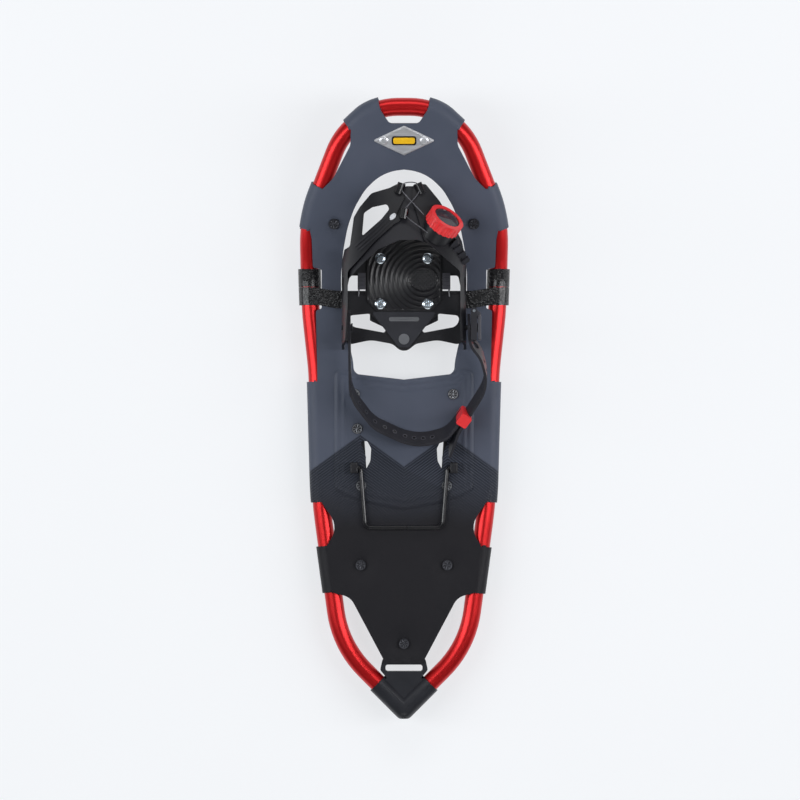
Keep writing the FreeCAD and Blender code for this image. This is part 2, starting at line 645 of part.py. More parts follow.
thick = size("wing_thickness")
skin = tunnel(0.0, 0.0).cut(tunnel(thick, 6.0))
lining = tunnel(thick, 0.0).cut(tunnel(thick + 2.0, 6.0))
SIDE_VIEW = [(62, base_top - 1), (62, 58), (70, 92), (104, 95), (122, 101), (135, 130), (250, 130), (250, 76),
             (200, 70), (168, 62), (153, base_top - 1)]
wing_side = side_prism(SIDE_VIEW, [0, 8, 6, 6, 6, 0, 0, 0, 20, 12, 4], -80, 80)
WALL_WINDOW = [(80, 55), (96, 55), (120, 58), (140, 84), (120, 84), (78, 68)]
wall_window = side_prism(WALL_WINDOW, [4, 4, 6, 4, 8, 5], -90, 90)
RIGHT_WING = [(57, 60), (72, 60), (72, 152), (61, 168), (48, 192), (36, 212), (22, 229), (9, 229), (8, 214),
              (15, 192), (20, 172), (42, 153), (57, 141)]
LEFT_WING = [(-57, 60), (-72, 60), (-72, 158), (-55, 166), (-51, 196), (-45, 206), (-33, 220), (-15, 225),
             (-6, 229.5), (1, 229.5), (0, 214), (-8, 198), (-2, 192), (-10, 188), (-30, 170), (-46, 152),
             (-57, 141)]
LEFT_WINDOW = [(-42.5, 176), (-40.5, 200), (-32, 205.5), (-17, 208.5), (-15, 203), (-23, 193)]
right_wing = skin.common(prism(RIGHT_WING, [0, 0, 6, 6, 8, 8, 3, 3, 3, 6, 8, 8, 6], 0, 150)).common(wing_side)
left_wing = skin.common(prism(LEFT_WING, [0, 0, 6, 4, 6, 4, 8, 3, 2, 2, 4, 3, 3, 8, 10, 8, 6], 0, 150))
left_wing = left_wing.common(wing_side)
left_wing = left_wing.cut(prism(LEFT_WINDOW, [1, 4, 4, 3, 3, 10], 70, 150))
wing_right = right_wing.cut(wall_window)
wing_left = left_wing.cut(wall_window)
swing_y = size("swing_station")
swing_z = size("swing_height")
pin_r = size("swing_pin") / 2
swing_bore = Part.makeCylinder(pin_r, 200, V(-100, swing_y, swing_z), V(1, 0, 0))
wing_right = max(wing_right.cut(swing_bore).Solids, key=lambda s: s.Volume)
wing_left = max(wing_left.cut(swing_bore).Solids, key=lambda s: s.Volume)
feature("wing_left", wing_left)

VAMP = [(-75, 120), (-60, 129), (-46, 144), (-27, 162), (-5, 171.5), (13, 172), (30, 166.5), (53, 148.5),
        (66, 133), (78, 128), (70, 160), (42, 184), (24, 205), (14, 227), (-4, 227), (-9, 206), (-24, 188),
        (-48, 166), (-70, 150)]
vamp = lining.common(prism(VAMP, [0] + [12] * 8 + [0] + [10] * 8 + [0], 0, 150))
vamp = vamp.common(side_prism(SIDE_VIEW, [0] * len(SIDE_VIEW), -80, 80))


def side_tab():
    """A ribbed clip between the footbed and the wing."""
    tab = box((foot_half + 1.5, 123.7, base_top), (47.5, 140.7, base_top + 3.0))
    ribs = [box((foot_half + 1.5, 125.0 + 4.0 * i, base_top + 2.0), (47.5, 127.0 + 4.0 * i, base_top + 4.2))
            for i in range(4)]
    hook = pipe([Part.LineSegment(V(46.0, 124.5, base_top + 1.2), V(46.6, 116.5, base_top + 1.2))], 0.9)
    return tab.fuse(ribs + [hook]).removeSplitter()


right_tab = side_tab()
feature("side_tab_right", right_tab)
feature("side_tab_left", flip(right_tab))

# ---------------------------------------------------------------- dial on the right wing
dial_seat = V(34.0, 181.0, 97.0)
dial_axis = V(0.50, 0.71, 0.50).normalize()
dial_turn = FreeCAD.Rotation(V(0, 0, 1), dial_axis)
dial_r = size("dial_diameter") / 2
dial_depth = size("dial_depth")


def along_dial(distance):
    return FreeCAD.Placement(dial_seat + dial_axis * distance, dial_turn)


def turned(shape, distance):
    shape.Placement = along_dial(distance)
    return shape


spool_r = 6.0
base_cup = turned(Part.makeCylinder(dial_r - 2.0, 13.0), -6.0)
spool_well = turned(Part.makeCylinder(spool_r + 1.4, 6.2), 1.2)
dial_base = base_cup.cut([spool_well, tunnel(0.0, 0.0)])
dial_base = max(dial_base.Solids, key=lambda s: s.Volume)
post = turned(Part.makeCylinder(1.5, 7.8), -0.2)
feature("dial_base", dial_base.cut(post))
feature("dial_post", post)
dial_room = turned(Part.makeCylinder(dial_r + 0.8, 20.0), 6.8)
wing_right = wing_right.cut([spool_well, dial_room, post])
feature("wing_right", max(wing_right.Solids, key=lambda s: s.Volume))
vamp = vamp.cut([spool_well, dial_room, post])
feature("vamp_pad", max(vamp.Solids, key=lambda s: s.Volume))

spool = turned(Part.makeCylinder(spool_r, 4.6), 1.8)
groove = turned(Part.makeTorus(spool_r + 0.8, 1.5), 4.1)
feature("dial_spool", spool.cut([groove, turned(Part.makeCylinder(1.5 + 0.05, 12), 0)]))

carrier_level = 8.0
carrier = turned(Part.makeCylinder(dial_r - 5.0, 2.0), carrier_level)
hub = turned(Part.makeCylinder(3.0, 6.0), carrier_level + 1.0)
feature("dial_carrier", carrier.fuse(hub))

ring_level = carrier_level - 0.6
ring_body = doc.addObject("PartDesign::Body", "dial_ring")
ring_body.Label = "dial_ring"
ring_sketch = ring_body.newObject("Sketcher::SketchObject", "dial_ring_outline")
ring_sketch.AttachmentSupport = [(o, "") for o in ring_body.Origin.OriginFeatures if o.Role == "XY_Plane"]
ring_sketch.MapMode = "FlatFace"
ring_sketch.addGeometry(Part.Circle(V(0, 0, 0), V(0, 0, 1), dial_r))
ring_sketch.addGeometry(Part.Circle(V(0, 0, 0), V(0, 0, 1), dial_r - 4.5))
ring_pad = ring_body.newObject("PartDesign::Pad", "dial_ring_pad")
ring_pad.Profile = ring_sketch
ring_pad.setExpression("Length", "Sheet.dial_depth")
doc.recompute()
grip_sketch = ring_body.newObject("Sketcher::SketchObject", "grip_outline")
grip_sketch.AttachmentSupport = [(o, "") for o in ring_body.Origin.OriginFeatures if o.Role == "XY_Plane"]
grip_sketch.MapMode = "FlatFace"
grip_sketch.AttachmentOffset = FreeCAD.Placement(V(0, 0, dial_depth - 2.5), FreeCAD.Rotation())
grip_sketch.addGeometry(Part.Circle(V(dial_r + 1.6, 0, 0), V(0, 0, 1), 2.6))
doc.recompute()
plain_ring = ring_body.Shape.Volume
grip = ring_body.newObject("PartDesign::Pocket", "grip")
grip.Profile = grip_sketch
grip.Length = dial_depth
doc.recompute()
grips = ring_body.newObject("PartDesign::PolarPattern", "grips")
grips.Originals = [grip]
grips.Axis = (grip_sketch, ["N_Axis"])
grips.Angle = 360
grips.Occurrences = 20
ring_body.Tip = grips
doc.recompute()
assert ring_body.Shape.Volume < plain_ring - 100
ring_body.Placement = along_dial(ring_level)

cap_seat = ring_level + dial_depth - 3.0
lid = turned(Part.makeCylinder(dial_r - 4.5, 3.0), cap_seat)
lid_rim = [e for e in lid.Edges if e.Closed]
hub_hole = turned(Part.makeCylinder(3.0 + 0.05, 8.0), carrier_level)
feature("dial_cap", lid.makeFillet(0.8, lid_rim).cut(hub_hole))

# ---------------------------------------------------------------- lace and its guides
lace_r = size("lace_diameter") / 2
LACE = [  # hand-placed route over the wings: across, along, height above the wing's skin
    (20.0, 197.5, 4.5),
    (-1.5, 220.5, 3.0),
    (-4.5, 225.5, 3.0),
    (0.5, 230.5, 2.0),
    (12.0, 231.0, 2.0),
    (17.0, 225.5, 3.0),
    (13.5, 217.0, 3.0),
    (1.5, 204.5, 3.0),
    (-0.5, 198.5, 3.0),
    (4.5, 193.0, 3.0),
    (22.0, 180.5, 3.6),
    (28.0, 175.5, 5.0),
]


def lace_route():
    return [V(x, y, arch_height(x, min(y, 235.0)) + above) for x, y, above in LACE]


lace_points = lace_route()
lace_radii = []
for i in range(1, len(lace_points) - 1):
    back = lace_points[i - 1] - lace_points[i]
    ahead = lace_points[i + 1] - lace_points[i]
    half_turn = (math.pi - back.getAngle(ahead)) / 2
    lace_radii.append(0.45 * min(back.Length, ahead.Length) / math.tan(half_turn))
lace_edges = rounded(lace_points, lace_radii)
lace_length = wire_of(lace_edges).Length
lace_shape = pipe(lace_edges, lace_r)
print("lace radii", ["%.1f" % r for r in lace_radii], "length %.1f" % lace_length)
print("lace volume %.2f, expected %.2f" % (lace_shape.Volume, math.pi * lace_r ** 2 * lace_length))
feature("lace", lace_shape.cut(dial_base))


def lace_guide(x, y, length, turn_deg):
    """A low saddle on the wing that the lace runs through."""
    lift = arch_height(x, y)
    saddle = Part.makeCylinder(4.2, length, V(-length / 2, 0, 1.0), V(1, 0, 0))
    saddle.rotate(V(0, 0, 0), V(0, 0, 1), turn_deg)
    saddle.translate(V(x, y, lift))
    return saddle


lace_tunnel = pipe(lace_edges, lace_r + 0.05)
outer_tunnel = tunnel(0.0, 0.0)
guide_parts = []
for spot in ((-4.0, 224.5, 11.0, 70), (16.0, 224.5, 11.0, -65), (0.0, 198.5, 10.0, 80)):
    guide = lace_guide(*spot).cut([outer_tunnel, lace_tunnel])
    guide_parts.append(max(guide.Solids, key=lambda s: s.Volume))
feature("lace_guides", Part.makeCompound(guide_parts))

ladder_turn = -56.0
ladder = box((-16, -4, -3), (16, 4, 6))
ladder = ladder.fuse([box((-14 + 8 * i, -5, 4), (-10 + 8 * i, 5, 8)) for i in range(4)])
ladder.rotate(V(0, 0, 0), V(0, 1, 0), 28)
ladder.rotate(V(0, 0, 0), V(0, 0, 1), ladder_turn)
ladder.translate(V(54.0, 163.0, 86.0))
ladder = ladder.cut([outer_tunnel, lace_tunnel, turned(Part.makeCylinder(dial_r + 1, 30), -8)])
feature("wing_ladder", max(ladder.Solids, key=lambda s: s.Volume))

# ---------------------------------------------------------------- heel strap, clip and buckle
band = size("heel_strap_width")
band_t = size("heel_strap_thickness")
droop = 13.5  # the loop's own tilt down to the rear, in degrees
lean = 38.0  # how far the strap's face leans back behind the heel, in degrees
band_lean = V(0, -math.sin(math.radians(lean)), math.cos(math.radians(lean))) * band
LEFT_STRAP = [(-55.6, 95.0), (-55.0, 18.0), (-31.0, -13.0), (12.0, -33.0), (44.0, -24.0), (59.0, -4.5)]
LEFT_STRAP_RADII = [40, 35, 55, 25]
RIGHT_STRAP = [(65.6, 92.0), (66.5, 72.0), (78.0, 58.0), (86.0, 30.0), (68.6, 2.0), (56.5, -16.0), (47.0, -42.0)]
RIGHT_STRAP_RADII = [25, 30, 35, 60, 40]


def offset_line(points, distance):
    """The points moved sideways so that every run shifts by the distance."""
    moved = []
    for i, p in enumerate(points):
        before = points[max(i - 1, 0)]
        after = points[min(i + 1, len(points) - 1)]
        first = V(p[0] - before[0], p[1] - before[1], 0)
        second = V(after[0] - p[0], after[1] - p[1], 0)
        first = first if first.Length else second
        second = second if second.Length else first
        n1 = V(-first.y, first.x, 0).normalize()
        n2 = V(-second.y, second.x, 0).normalize()
        miter = (n1 + n2).normalize()
        moved.append((p[0] + miter.x * distance / miter.dot(n1), p[1] + miter.y * distance / miter.dot(n1)))
    return moved


def strap_band(points, radii):
    """A band standing on its edge along a plan line, tilted down to the rear and leaning back."""
    edges = []
    for side, way in ((band_t / 2, 1), (-band_t / 2, -1)):
        line = offset_line(points, side)
        turns = []
        for i in range(1, len(points) - 1):
            a = V(points[i][0] - points[i - 1][0], points[i][1] - points[i - 1][1], 0)
            b = V(points[i + 1][0] - points[i][0], points[i + 1][1] - points[i][1], 0)
            turns.append(radii[i - 1] - side * (1 if a.cross(b).z > 0 else -1))
        if way < 0:
            line, turns = line[::-1], turns[::-1]
        if edges:
            edges.append(Part.LineSegment(edges[-1].EndPoint, V(line[0][0], line[0][1], 0)))
        edges += rounded([V(x, y, 0) for x, y in line], turns)
    edges.append(Part.LineSegment(edges[-1].EndPoint, edges[0].StartPoint))
    face = Part.Face(wire_of(edges))
    solid = face.extrude(band_lean)
    solid.translate(V(0, -band_lean.y / 2 - swing_y, -band_lean.z / 2))
    shear = FreeCAD.Matrix()
    shear.A32 = math.tan(math.radians(droop))
    solid = solid.transformGeometry(shear)
    solid.translate(V(0, swing_y, swing_z))
    return solid


left_band = strap_band(LEFT_STRAP, LEFT_STRAP_RADII)
right_band = strap_band(RIGHT_STRAP, RIGHT_STRAP_RADII)
pin_bore = Part.makeCylinder(pin_r + size("hinge_play"), 200, V(-100, swing_y, swing_z), V(1, 0, 0))
KEYHOLES = [(72.0, 66.0, 3.4), (80.5, 50.0, 2.0), (83.0, 41.0, 2.0), (84.5, 33.0, 2.0)]


def across(x, y, radius):
    """A hole through the strap's face near (x, y), halfway up the strap."""
    z = swing_z + (y - swing_y) * math.tan(math.radians(droop))
    return Part.makeCylinder(radius, 30, V(x - 15, y, z), V(1, 0, 0))


right_band = right_band.cut([across(*k) for k in KEYHOLES] + [pin_bore])
holes_left = [across(-55.4, 60.0 - 12.0 * i, 2.0) for i in range(4)]
left_band = left_band.cut(holes_left + [pin_bore])
feature("heel_strap_left", left_band)
feature("heel_strap_right", right_band)

clip_height = swing_z + (-8.0 - swing_y) * math.tan(math.radians(droop))
clip_block = box((-6.5, -6.0, -11.5), (6.5, 6.0, 11.5))
clip_block = clip_block.makeFillet(2.0, [e for e in clip_block.Edges if abs(e.tangentAt(0).z) > 0.9])
clip_block.rotate(V(0, 0, 0), V(0, 0, 1), 56)
clip_block.rotate(V(0, 0, 0), V(1, 0, 0), 22)
clip_block.translate(V(61.0, -7.0, clip_height))
strap_clip = clip_block.cut([left_band, right_band])
print("clip pieces", [round(s.Volume) for s in strap_clip.Solids])
feature("strap_clip", max(strap_clip.Solids, key=lambda s: s.Volume))


def swing_pin(x_inner, x_outer, head_height, label):
    """The pin fixed in the wing that the heel strap turns on, with a head at its free end."""
    sign = 1 if x_outer > x_inner else -1
    stem = Part.makeCylinder(pin_r, abs(x_outer - x_inner), V(x_inner, swing_y, swing_z), V(sign, 0, 0))
    head = Part.makeCylinder(pin_r + 2.0, head_height, V(x_outer, swing_y, swing_z), V(sign, 0, 0))
    feature(label, stem.fuse(head))


swing_pin(-63.4, -53.6, 1.4, "strap_pin_left")
swing_pin(60.7, 74.1, 0.8, "strap_pin_right")

buckle_low = swing_z - 9.0
buckle_high = swing_z + 9.0
hinge_x, hinge_y = 71.0, 101.0
lever_pin_r = 1.5
lever_half = 5.0
buckle = box((67.6, 71.0, buckle_low), (74.0, 98.0, buckle_high))
knuckle = Part.makeCylinder(3.2, buckle_high - buckle_low, V(hinge_x, hinge_y, buckle_low))
cheeks = box((68.4, 97.0, buckle_low), (73.6, hinge_y, buckle_high))
lever_slot = box((60, 92.0, swing_z - lever_half - 0.3), (90, 110, swing_z + lever_half + 0.3))
lever_bore = Part.makeCylinder(lever_pin_r + size("hinge_play"), 40, V(hinge_x, hinge_y, buckle_low - 5))
buckle = buckle.fuse([knuckle, cheeks]).cut([lever_slot, right_band, pin_bore])
lever_pin = Part.makeCylinder(lever_pin_r, buckle_high - buckle_low, V(hinge_x, hinge_y, buckle_low))
feature("buckle_body", max(buckle.cut(lever_pin).Solids, key=lambda s: s.Volume))
feature("buckle_pin", lever_pin)

lever = box((75.2, 71.0, swing_z - 8.5), (78.0, 96.0, swing_z + 8.5))
lever = lever.makeFillet(1.2, [e for e in lever.Edges if abs(e.tangentAt(0).x) > 0.9])
lever_knuckle = Part.makeCylinder(3.0, 2 * lever_half, V(hinge_x, hinge_y, swing_z - lever_half))
lever_arm = prism([(71.0, 104.0), (78.0, 99.0), (78.0, 92.0), (75.2, 92.0), (71.0, 98.2)], [0] * 5,
                  swing_z - lever_half, swing_z + lever_half)
lever = lever.fuse([lever_knuckle, lever_arm]).cut(lever_bore)
lever = lever.cut([box((70, y, swing_z - 1.5), (80, y + 3, swing_z + 1.5)) for y in (76, 84)])
feature("buckle_lever", lever.removeSplitter())

# ---------------------------------------------------------------- check everything, then write it
NODES = [
    "frame_tube", "tail_cap", "deck", "nose_badge", "badge_rivets", "shoulder_rivets", "pad_rivets",
    "rear_rivets", "tail_rivet", "heel_pad", "heel_crampon_left", "heel_crampon_right",
    "heel_lift_clip_left", "heel_lift_clip_right", "suspension_wrap_left", "suspension_wrap_right",
    "heel_lift_bail", "suspension_strap", "footbed", "footbed_screws", "footbed_nuts", "toe_crampon",
    "harness_base", "rear_clamp_plate", "clamp_rivet", "wing_left", "wing_right", "vamp_pad",
    "side_tab_left", "side_tab_right", "wing_ladder", "lace_guides", "lace", "dial_base", "dial_post",
    "dial_spool", "dial_carrier", "dial_ring", "dial_cap", "strap_pin_left", "strap_pin_right",
    "heel_strap_left", "heel_strap_right", "strap_clip", "buckle_body", "buckle_pin", "buckle_lever",
]
doc.recompute()
for item in doc.Objects:
    assert "Invalid" not in item.State and "Error" not in item.State, (item.Label, item.State)
labelled = {item.Label: item for item in doc.Objects}
whole = FreeCAD.BoundBox()
for name in NODES:
    shape = labelled[name].Shape
    assert not shape.isNull() and shape.isValid(), name
    assert shape.Solids, name
    print("%-24s solids %d volume %9.1f" % (name, len(shape.Solids), shape.Volume))
    whole.add(shape.BoundBox)
print(whole)
os.makedirs("parts", exist_ok=True)
for name in NODES:
    labelled[name].Shape.exportStep("parts/%s.step" % name)
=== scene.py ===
# %% [markdown]
# # A snowshoe with a bent tube frame
# This lesson dresses a finished engineering model. The model comes in as fixed
# parts, each on the body that carries it, and every new piece is laid over them in
# the same frame: metres, +Y to the nose, +Z up, and the floor at zero.

import json
import math

import bmesh
import bpy
import numpy as np
from mathutils import Matrix, Vector


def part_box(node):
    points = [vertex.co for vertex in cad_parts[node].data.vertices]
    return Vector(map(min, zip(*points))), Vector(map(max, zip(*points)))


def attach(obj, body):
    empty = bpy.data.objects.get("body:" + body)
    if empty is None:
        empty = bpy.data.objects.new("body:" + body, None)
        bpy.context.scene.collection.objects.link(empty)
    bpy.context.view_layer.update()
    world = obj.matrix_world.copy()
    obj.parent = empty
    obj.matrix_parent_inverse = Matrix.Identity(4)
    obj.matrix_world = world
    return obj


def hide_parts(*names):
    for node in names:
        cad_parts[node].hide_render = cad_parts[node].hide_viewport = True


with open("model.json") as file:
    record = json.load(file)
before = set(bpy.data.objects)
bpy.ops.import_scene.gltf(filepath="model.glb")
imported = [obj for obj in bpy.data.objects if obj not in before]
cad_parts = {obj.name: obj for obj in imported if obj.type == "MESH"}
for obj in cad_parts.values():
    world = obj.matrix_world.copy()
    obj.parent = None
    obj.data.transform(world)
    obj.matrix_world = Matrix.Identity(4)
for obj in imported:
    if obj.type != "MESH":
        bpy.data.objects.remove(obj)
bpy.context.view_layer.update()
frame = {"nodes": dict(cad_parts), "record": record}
nodes = frame["nodes"]
carrier = {node: body for body, held in frame["record"]["behaviour"]["bodies"].items() for node in held}

# %% [markdown]
# ## Camera, floor and light
# The shoe lies flat and is seen from straight above, nose up. A long lens a few
# metres away keeps the tall binding from leaning out. A shorter lens would show more
# of the wing walls, but the outline of the frame would swell at the nose. Two long
# soft lights, one on each side, draw the streaks on the round tube.

# %% Camera straight above
CAMERA_HEIGHT = 3.6
VIEW_WIDTH = 0.8215
DECK_HEIGHT = 0.04
VIEW_CENTRE = (-0.0041, 0.0105)
scene = bpy.context.scene
lens = bpy.data.cameras.new("camera")
lens.sensor_width = 36.0
lens.lens = lens.sensor_width * (CAMERA_HEIGHT - DECK_HEIGHT) / VIEW_WIDTH
lens.clip_end = 50.0
camera = bpy.data.objects.new("camera", lens)
camera.location = (*VIEW_CENTRE, CAMERA_HEIGHT)
scene.collection.objects.link(camera)
scene.camera = camera
print("lens", round(lens.lens), "mm")


# %% Soft lights
def softbox(name, place, width, depth, power, tint):
    """A large rectangular light, pointed at the middle of the shoe."""
    lamp = bpy.data.lights.new(name, "AREA")
    lamp.shape = "RECTANGLE"
    lamp.size = width
    lamp.size_y = depth
    lamp.energy = power
    lamp.color = tint
    holder = bpy.data.objects.new(name, lamp)
    holder.location = place
    holder.rotation_euler = (-Vector(place)).to_track_quat("-Z", "Y").to_euler()
    scene.collection.objects.link(holder)


WHITE = (1.0, 1.0, 1.0)
LIGHTS = [
    # name, place, width, depth, power in watts, tint
    ("left_light", (-1.7, 0.1, 1.6), 0.55, 2.6, 28.0, (0.96, 0.98, 1.0)),
    ("right_light", (1.7, 0.1, 1.6), 0.55, 2.6, 31.0, (0.98, 0.98, 1.0)),
    ("nose_light", (0.0, 2.0, 1.5), 2.2, 0.7, 15.0, WHITE),
    ("tail_light", (0.0, -2.2, 1.5), 2.2, 0.7, 8.0, WHITE),
]
WORLD_TINT = (0.93, 0.96, 1.0, 1.0)
WORLD_STRENGTH = 0.15
for light in LIGHTS:
    softbox(*light)
scene.view_settings.view_transform = "Standard"
studio = bpy.data.worlds.new("studio")
studio.use_nodes = True
studio.node_tree.nodes["Background"].inputs["Color"].default_value = WORLD_TINT
studio.node_tree.nodes["Background"].inputs["Strength"].default_value = WORLD_STRENGTH
scene.world = studio

# %% [markdown]
# ## Writing a finish
# A finish is a small network of nodes. Wiring each by hand is slow to read, so one
# class wraps a socket and lets sums be written as sums, and one method makes any
# node. Patterns read Object coordinates, so they stay on the piece as it moves.


# %% A socket that can be used in sums
class Wire:
    """A node's output. Sums on it add Math nodes."""

    def __init__(self, finish, socket):
        self.finish = finish
        self.socket = socket

    def _sum(self, operation, *terms):
        return self.finish.add("ShaderNodeMath", {"operation": operation}, dict(enumerate(terms)))

    def __add__(self, other):
        return self._sum("ADD", self, other)

    def __sub__(self, other):
        return self._sum("SUBTRACT", self, other)

    def __rsub__(self, other):
        return self._sum("SUBTRACT", other, self)

    def __mul__(self, other):
        return self._sum("MULTIPLY", self, other)

    def __truediv__(self, other):
        return self._sum("DIVIDE", self, other)

    def __abs__(self):
        return self._sum("ABSOLUTE", self)

    def wave(self):
        return self._sum("SINE", self)

    def larger(self, other):
        return self._sum("MAXIMUM", self, other)

    def smaller(self, other):
        return self._sum("MINIMUM", self, other)

    def clamp(self):
        return self.smaller(1.0).larger(0.0)

    __radd__ = __add__
    __rmul__ = __mul__


print("sums ready")


# %% One material and its nodes
def paint(red, green, blue):
    """A colour given as it is seen on a screen, 0 to 255, turned into light."""
    shares = [c / 255 for c in (red, green, blue)]
    return tuple(c / 12.92 if c <= 0.04045 else ((c + 0.055) / 1.055) ** 2.4 for c in shares) + (1.0,)


class Finish:
    """A material whose nodes are made by add()."""

    def __init__(self, name):
        self.material = bpy.data.materials.new(name)
        self.material.use_nodes = True
        self.tree = self.material.node_tree
        self.tree.nodes.clear()
        self.spot = self.add("ShaderNodeTexCoord", output="Object")

    def add(self, kind, settings=None, inputs=None, output=0):
        node = self.tree.nodes.new(kind)
        for key, value in (settings or {}).items():
            setattr(node, key, value)
        for key, value in (inputs or {}).items():
            if isinstance(value, Wire):
                self.tree.links.new(value.socket, node.inputs[key])
            else:
                node.inputs[key].default_value = value
        return Wire(self, node.outputs[output])

    def along(self, axis):
        """The place along one axis, in millimetres."""
        split = self.add("ShaderNodeSeparateXYZ", None, {0: self.spot}, axis)
        return split * 1000.0

    def stretched(self, scale):
        return self.add("ShaderNodeMapping", None, {"Vector": self.spot, "Scale": scale})

    def noise(self, grain, detail=3.0, stretch=(1.0, 1.0, 1.0), rough=0.5):
        """Soft noise whose lumps are about grain millimetres across."""
        scale = tuple(s / (grain * 0.001) for s in stretch)
        inputs = {"Vector": self.stretched(scale), "Scale": 1.0, "Detail": detail, "Roughness": rough}
        return self.add("ShaderNodeTexNoise", None, inputs, 0)

    def pebbles(self, grain, stretch=(1.0, 1.0, 1.0)):
        scale = tuple(s / (grain * 0.001) for s in stretch)
        return self.add("ShaderNodeTexVoronoi", None, {"Vector": self.stretched(scale), "Scale": 1.0}, 0)

    def blend(self, share, first, second):
        node = {"data_type": "RGBA", "clamp_factor": True}
        return self.add("ShaderNodeMix", node, {0: share, 6: first, 7: second}, 2)

    def bump(self, height, depth, under=None, strength=1.0):
        """A bump of depth millimetres."""
        inputs = {"Height": height, "Distance": depth * 0.001, "Strength": strength}
        if under:
            inputs["Normal"] = under
        return self.add("ShaderNodeBump", None, inputs)

    def surface(self, colour, roughness, normal=None, metallic=0.0, **fixed):
        inputs = {"Base Color": colour, "Roughness": roughness, "Metallic": metallic, "Specular IOR Level": 0.38}
        inputs.update({key.replace("_", " "): value for key, value in fixed.items()})
        if normal:
            inputs["Normal"] = normal
        shader = self.add("ShaderNodeBsdfPrincipled", None, inputs)
        self.add_output(shader)
        return self.material

    def add_output(self, shader):
        out = self.tree.nodes.new("ShaderNodeOutputMaterial")
        self.tree.links.new(shader.socket, out.inputs["Surface"])


print("finishes ready")

# %% [markdown]
# ## The floor
# A pale light table, which glows a little so that the openings in the deck stay
# bright. It is only a stage, not part of the shoe.

# %% Floor
FLOOR_HALF = 6.0
floor_mesh = bmesh.new()
bmesh.ops.create_grid(floor_mesh, x_segments=1, y_segments=1, size=FLOOR_HALF)
floor_data = bpy.data.meshes.new("floor")
floor_mesh.to_mesh(floor_data)
floor_mesh.free()
paper = Finish("light_table")
paper_tint = paper.blend(paper.noise(900), paint(146, 147, 149), paint(150, 151, 153))
paper_glow = paper.blend(paper.noise(900), paint(206, 208, 210), paint(210, 212, 214))
floor_data.materials.append(paper.surface(paper_tint, 0.9, Emission_Color=paper_glow, Emission_Strength=1.0))
floor = bpy.data.objects.new("floor", floor_data)
scene.collection.objects.link(floor)
print("floor laid")

# %% [markdown]
# ## Finishes of the hard parts
# Anodised tube is metal under a clear red skin, drawn lengthways. Moulded parts get
# a fine spark-eroded grain. Crampons are powder coated steel and their tips are
# scraped bare by rock. Each finish varies a little over its surface, because one flat
# value reads as plastic toy.

# %% Red anodised tube
tube_red = Finish("anodised_red")
spark = tube_red.noise(0.45, 2.0)
cloud = tube_red.noise(40.0)
tube_tint = tube_red.blend(cloud, paint(196, 10, 16), paint(214, 20, 22))
tube_tint = tube_red.blend(spark * 0.3, tube_tint, paint(160, 6, 12))
tube_finish = tube_red.surface(
    tube_tint, spark * 0.08 + 0.31, tube_red.bump(spark, 0.012), 0.75, Coat_Roughness=0.32, Coat_Weight=0.32
)
print("tube finish")


# %% Moulded plastic, rubber and powder coat
def moulded(name, dark, light, rough, grain=0.7, depth=0.03, metallic=0.0, **fixed):
    """A moulded or coated surface with a fine grain, cloudy in tone."""
    f = Finish(name)
    fine = f.noise(grain, 2.0)
    cloudy = f.noise(18.0, 4.0)
    scuffs = f.noise(5.0, 5.0, (1.0, 0.25, 1.0), 0.7)
    colour = f.blend(cloudy * 0.7 + fine * 0.3, dark, light)
    shine = cloudy * 0.14 + scuffs * 0.1 + (rough - 0.12)
    return f.surface(colour, shine, f.bump(fine, depth), metallic, **fixed)


cap_black = moulded("cap_black", paint(20, 21, 26), paint(36, 38, 45), 0.42, Coat_Weight=0.1)
harness_finish = moulded("harness_black", paint(14, 14, 18), paint(30, 30, 35), 0.4, 0.9, 0.05)
vamp_finish = moulded("vamp_skin", paint(25, 25, 30), paint(36, 36, 42), 0.46, 0.5, 0.03)
strap_finish = moulded("strap_grey", paint(28, 28, 33), paint(48, 48, 54), 0.38, 0.8, 0.04)
smoke_finish = moulded("smoke_grey", paint(52, 52, 58), paint(80, 80, 87), 0.34, 0.8, 0.03, Coat_Weight=0.3)
zinc_finish = moulded("zinc", paint(196, 208, 218), paint(232, 240, 246), 0.22, 0.4, 0.02, 1.0)
deck_rivet_finish = moulded("deck_rivet", paint(44, 45, 50), paint(78, 79, 85), 0.34, 0.5, 0.04, 0.5)
bead_finish = moulded("bead_silver", paint(196, 198, 203), paint(226, 228, 232), 0.4, 0.6, 0.02)
rail_finish = moulded("bail_black", paint(9, 9, 12), paint(20, 20, 24), 0.3, 0.5, 0.02, 0.2, Coat_Weight=0.4)
rivet_finish = moulded("rivet_black", paint(96, 98, 102), paint(140, 142, 146), 0.4, 0.5, 0.04, 0.75)
red_finish = moulded("signal_red", paint(222, 34, 40), paint(240, 54, 56), 0.36, 0.6, 0.02, Coat_Weight=0.2)
plate_finish = moulded("plate_satin", paint(44, 45, 50), paint(62, 63, 69), 0.42, 0.6, 0.03, 0.4)
footbed_finish = moulded("footbed_black", paint(15, 15, 18), paint(30, 30, 34), 0.36, 0.6, 0.03, Coat_Weight=0.15)
dark_cap = moulded("dial_cap_black", paint(26, 26, 31), paint(44, 44, 52), 0.3, 0.6, 0.02, Coat_Weight=0.4)
print("moulded finishes")

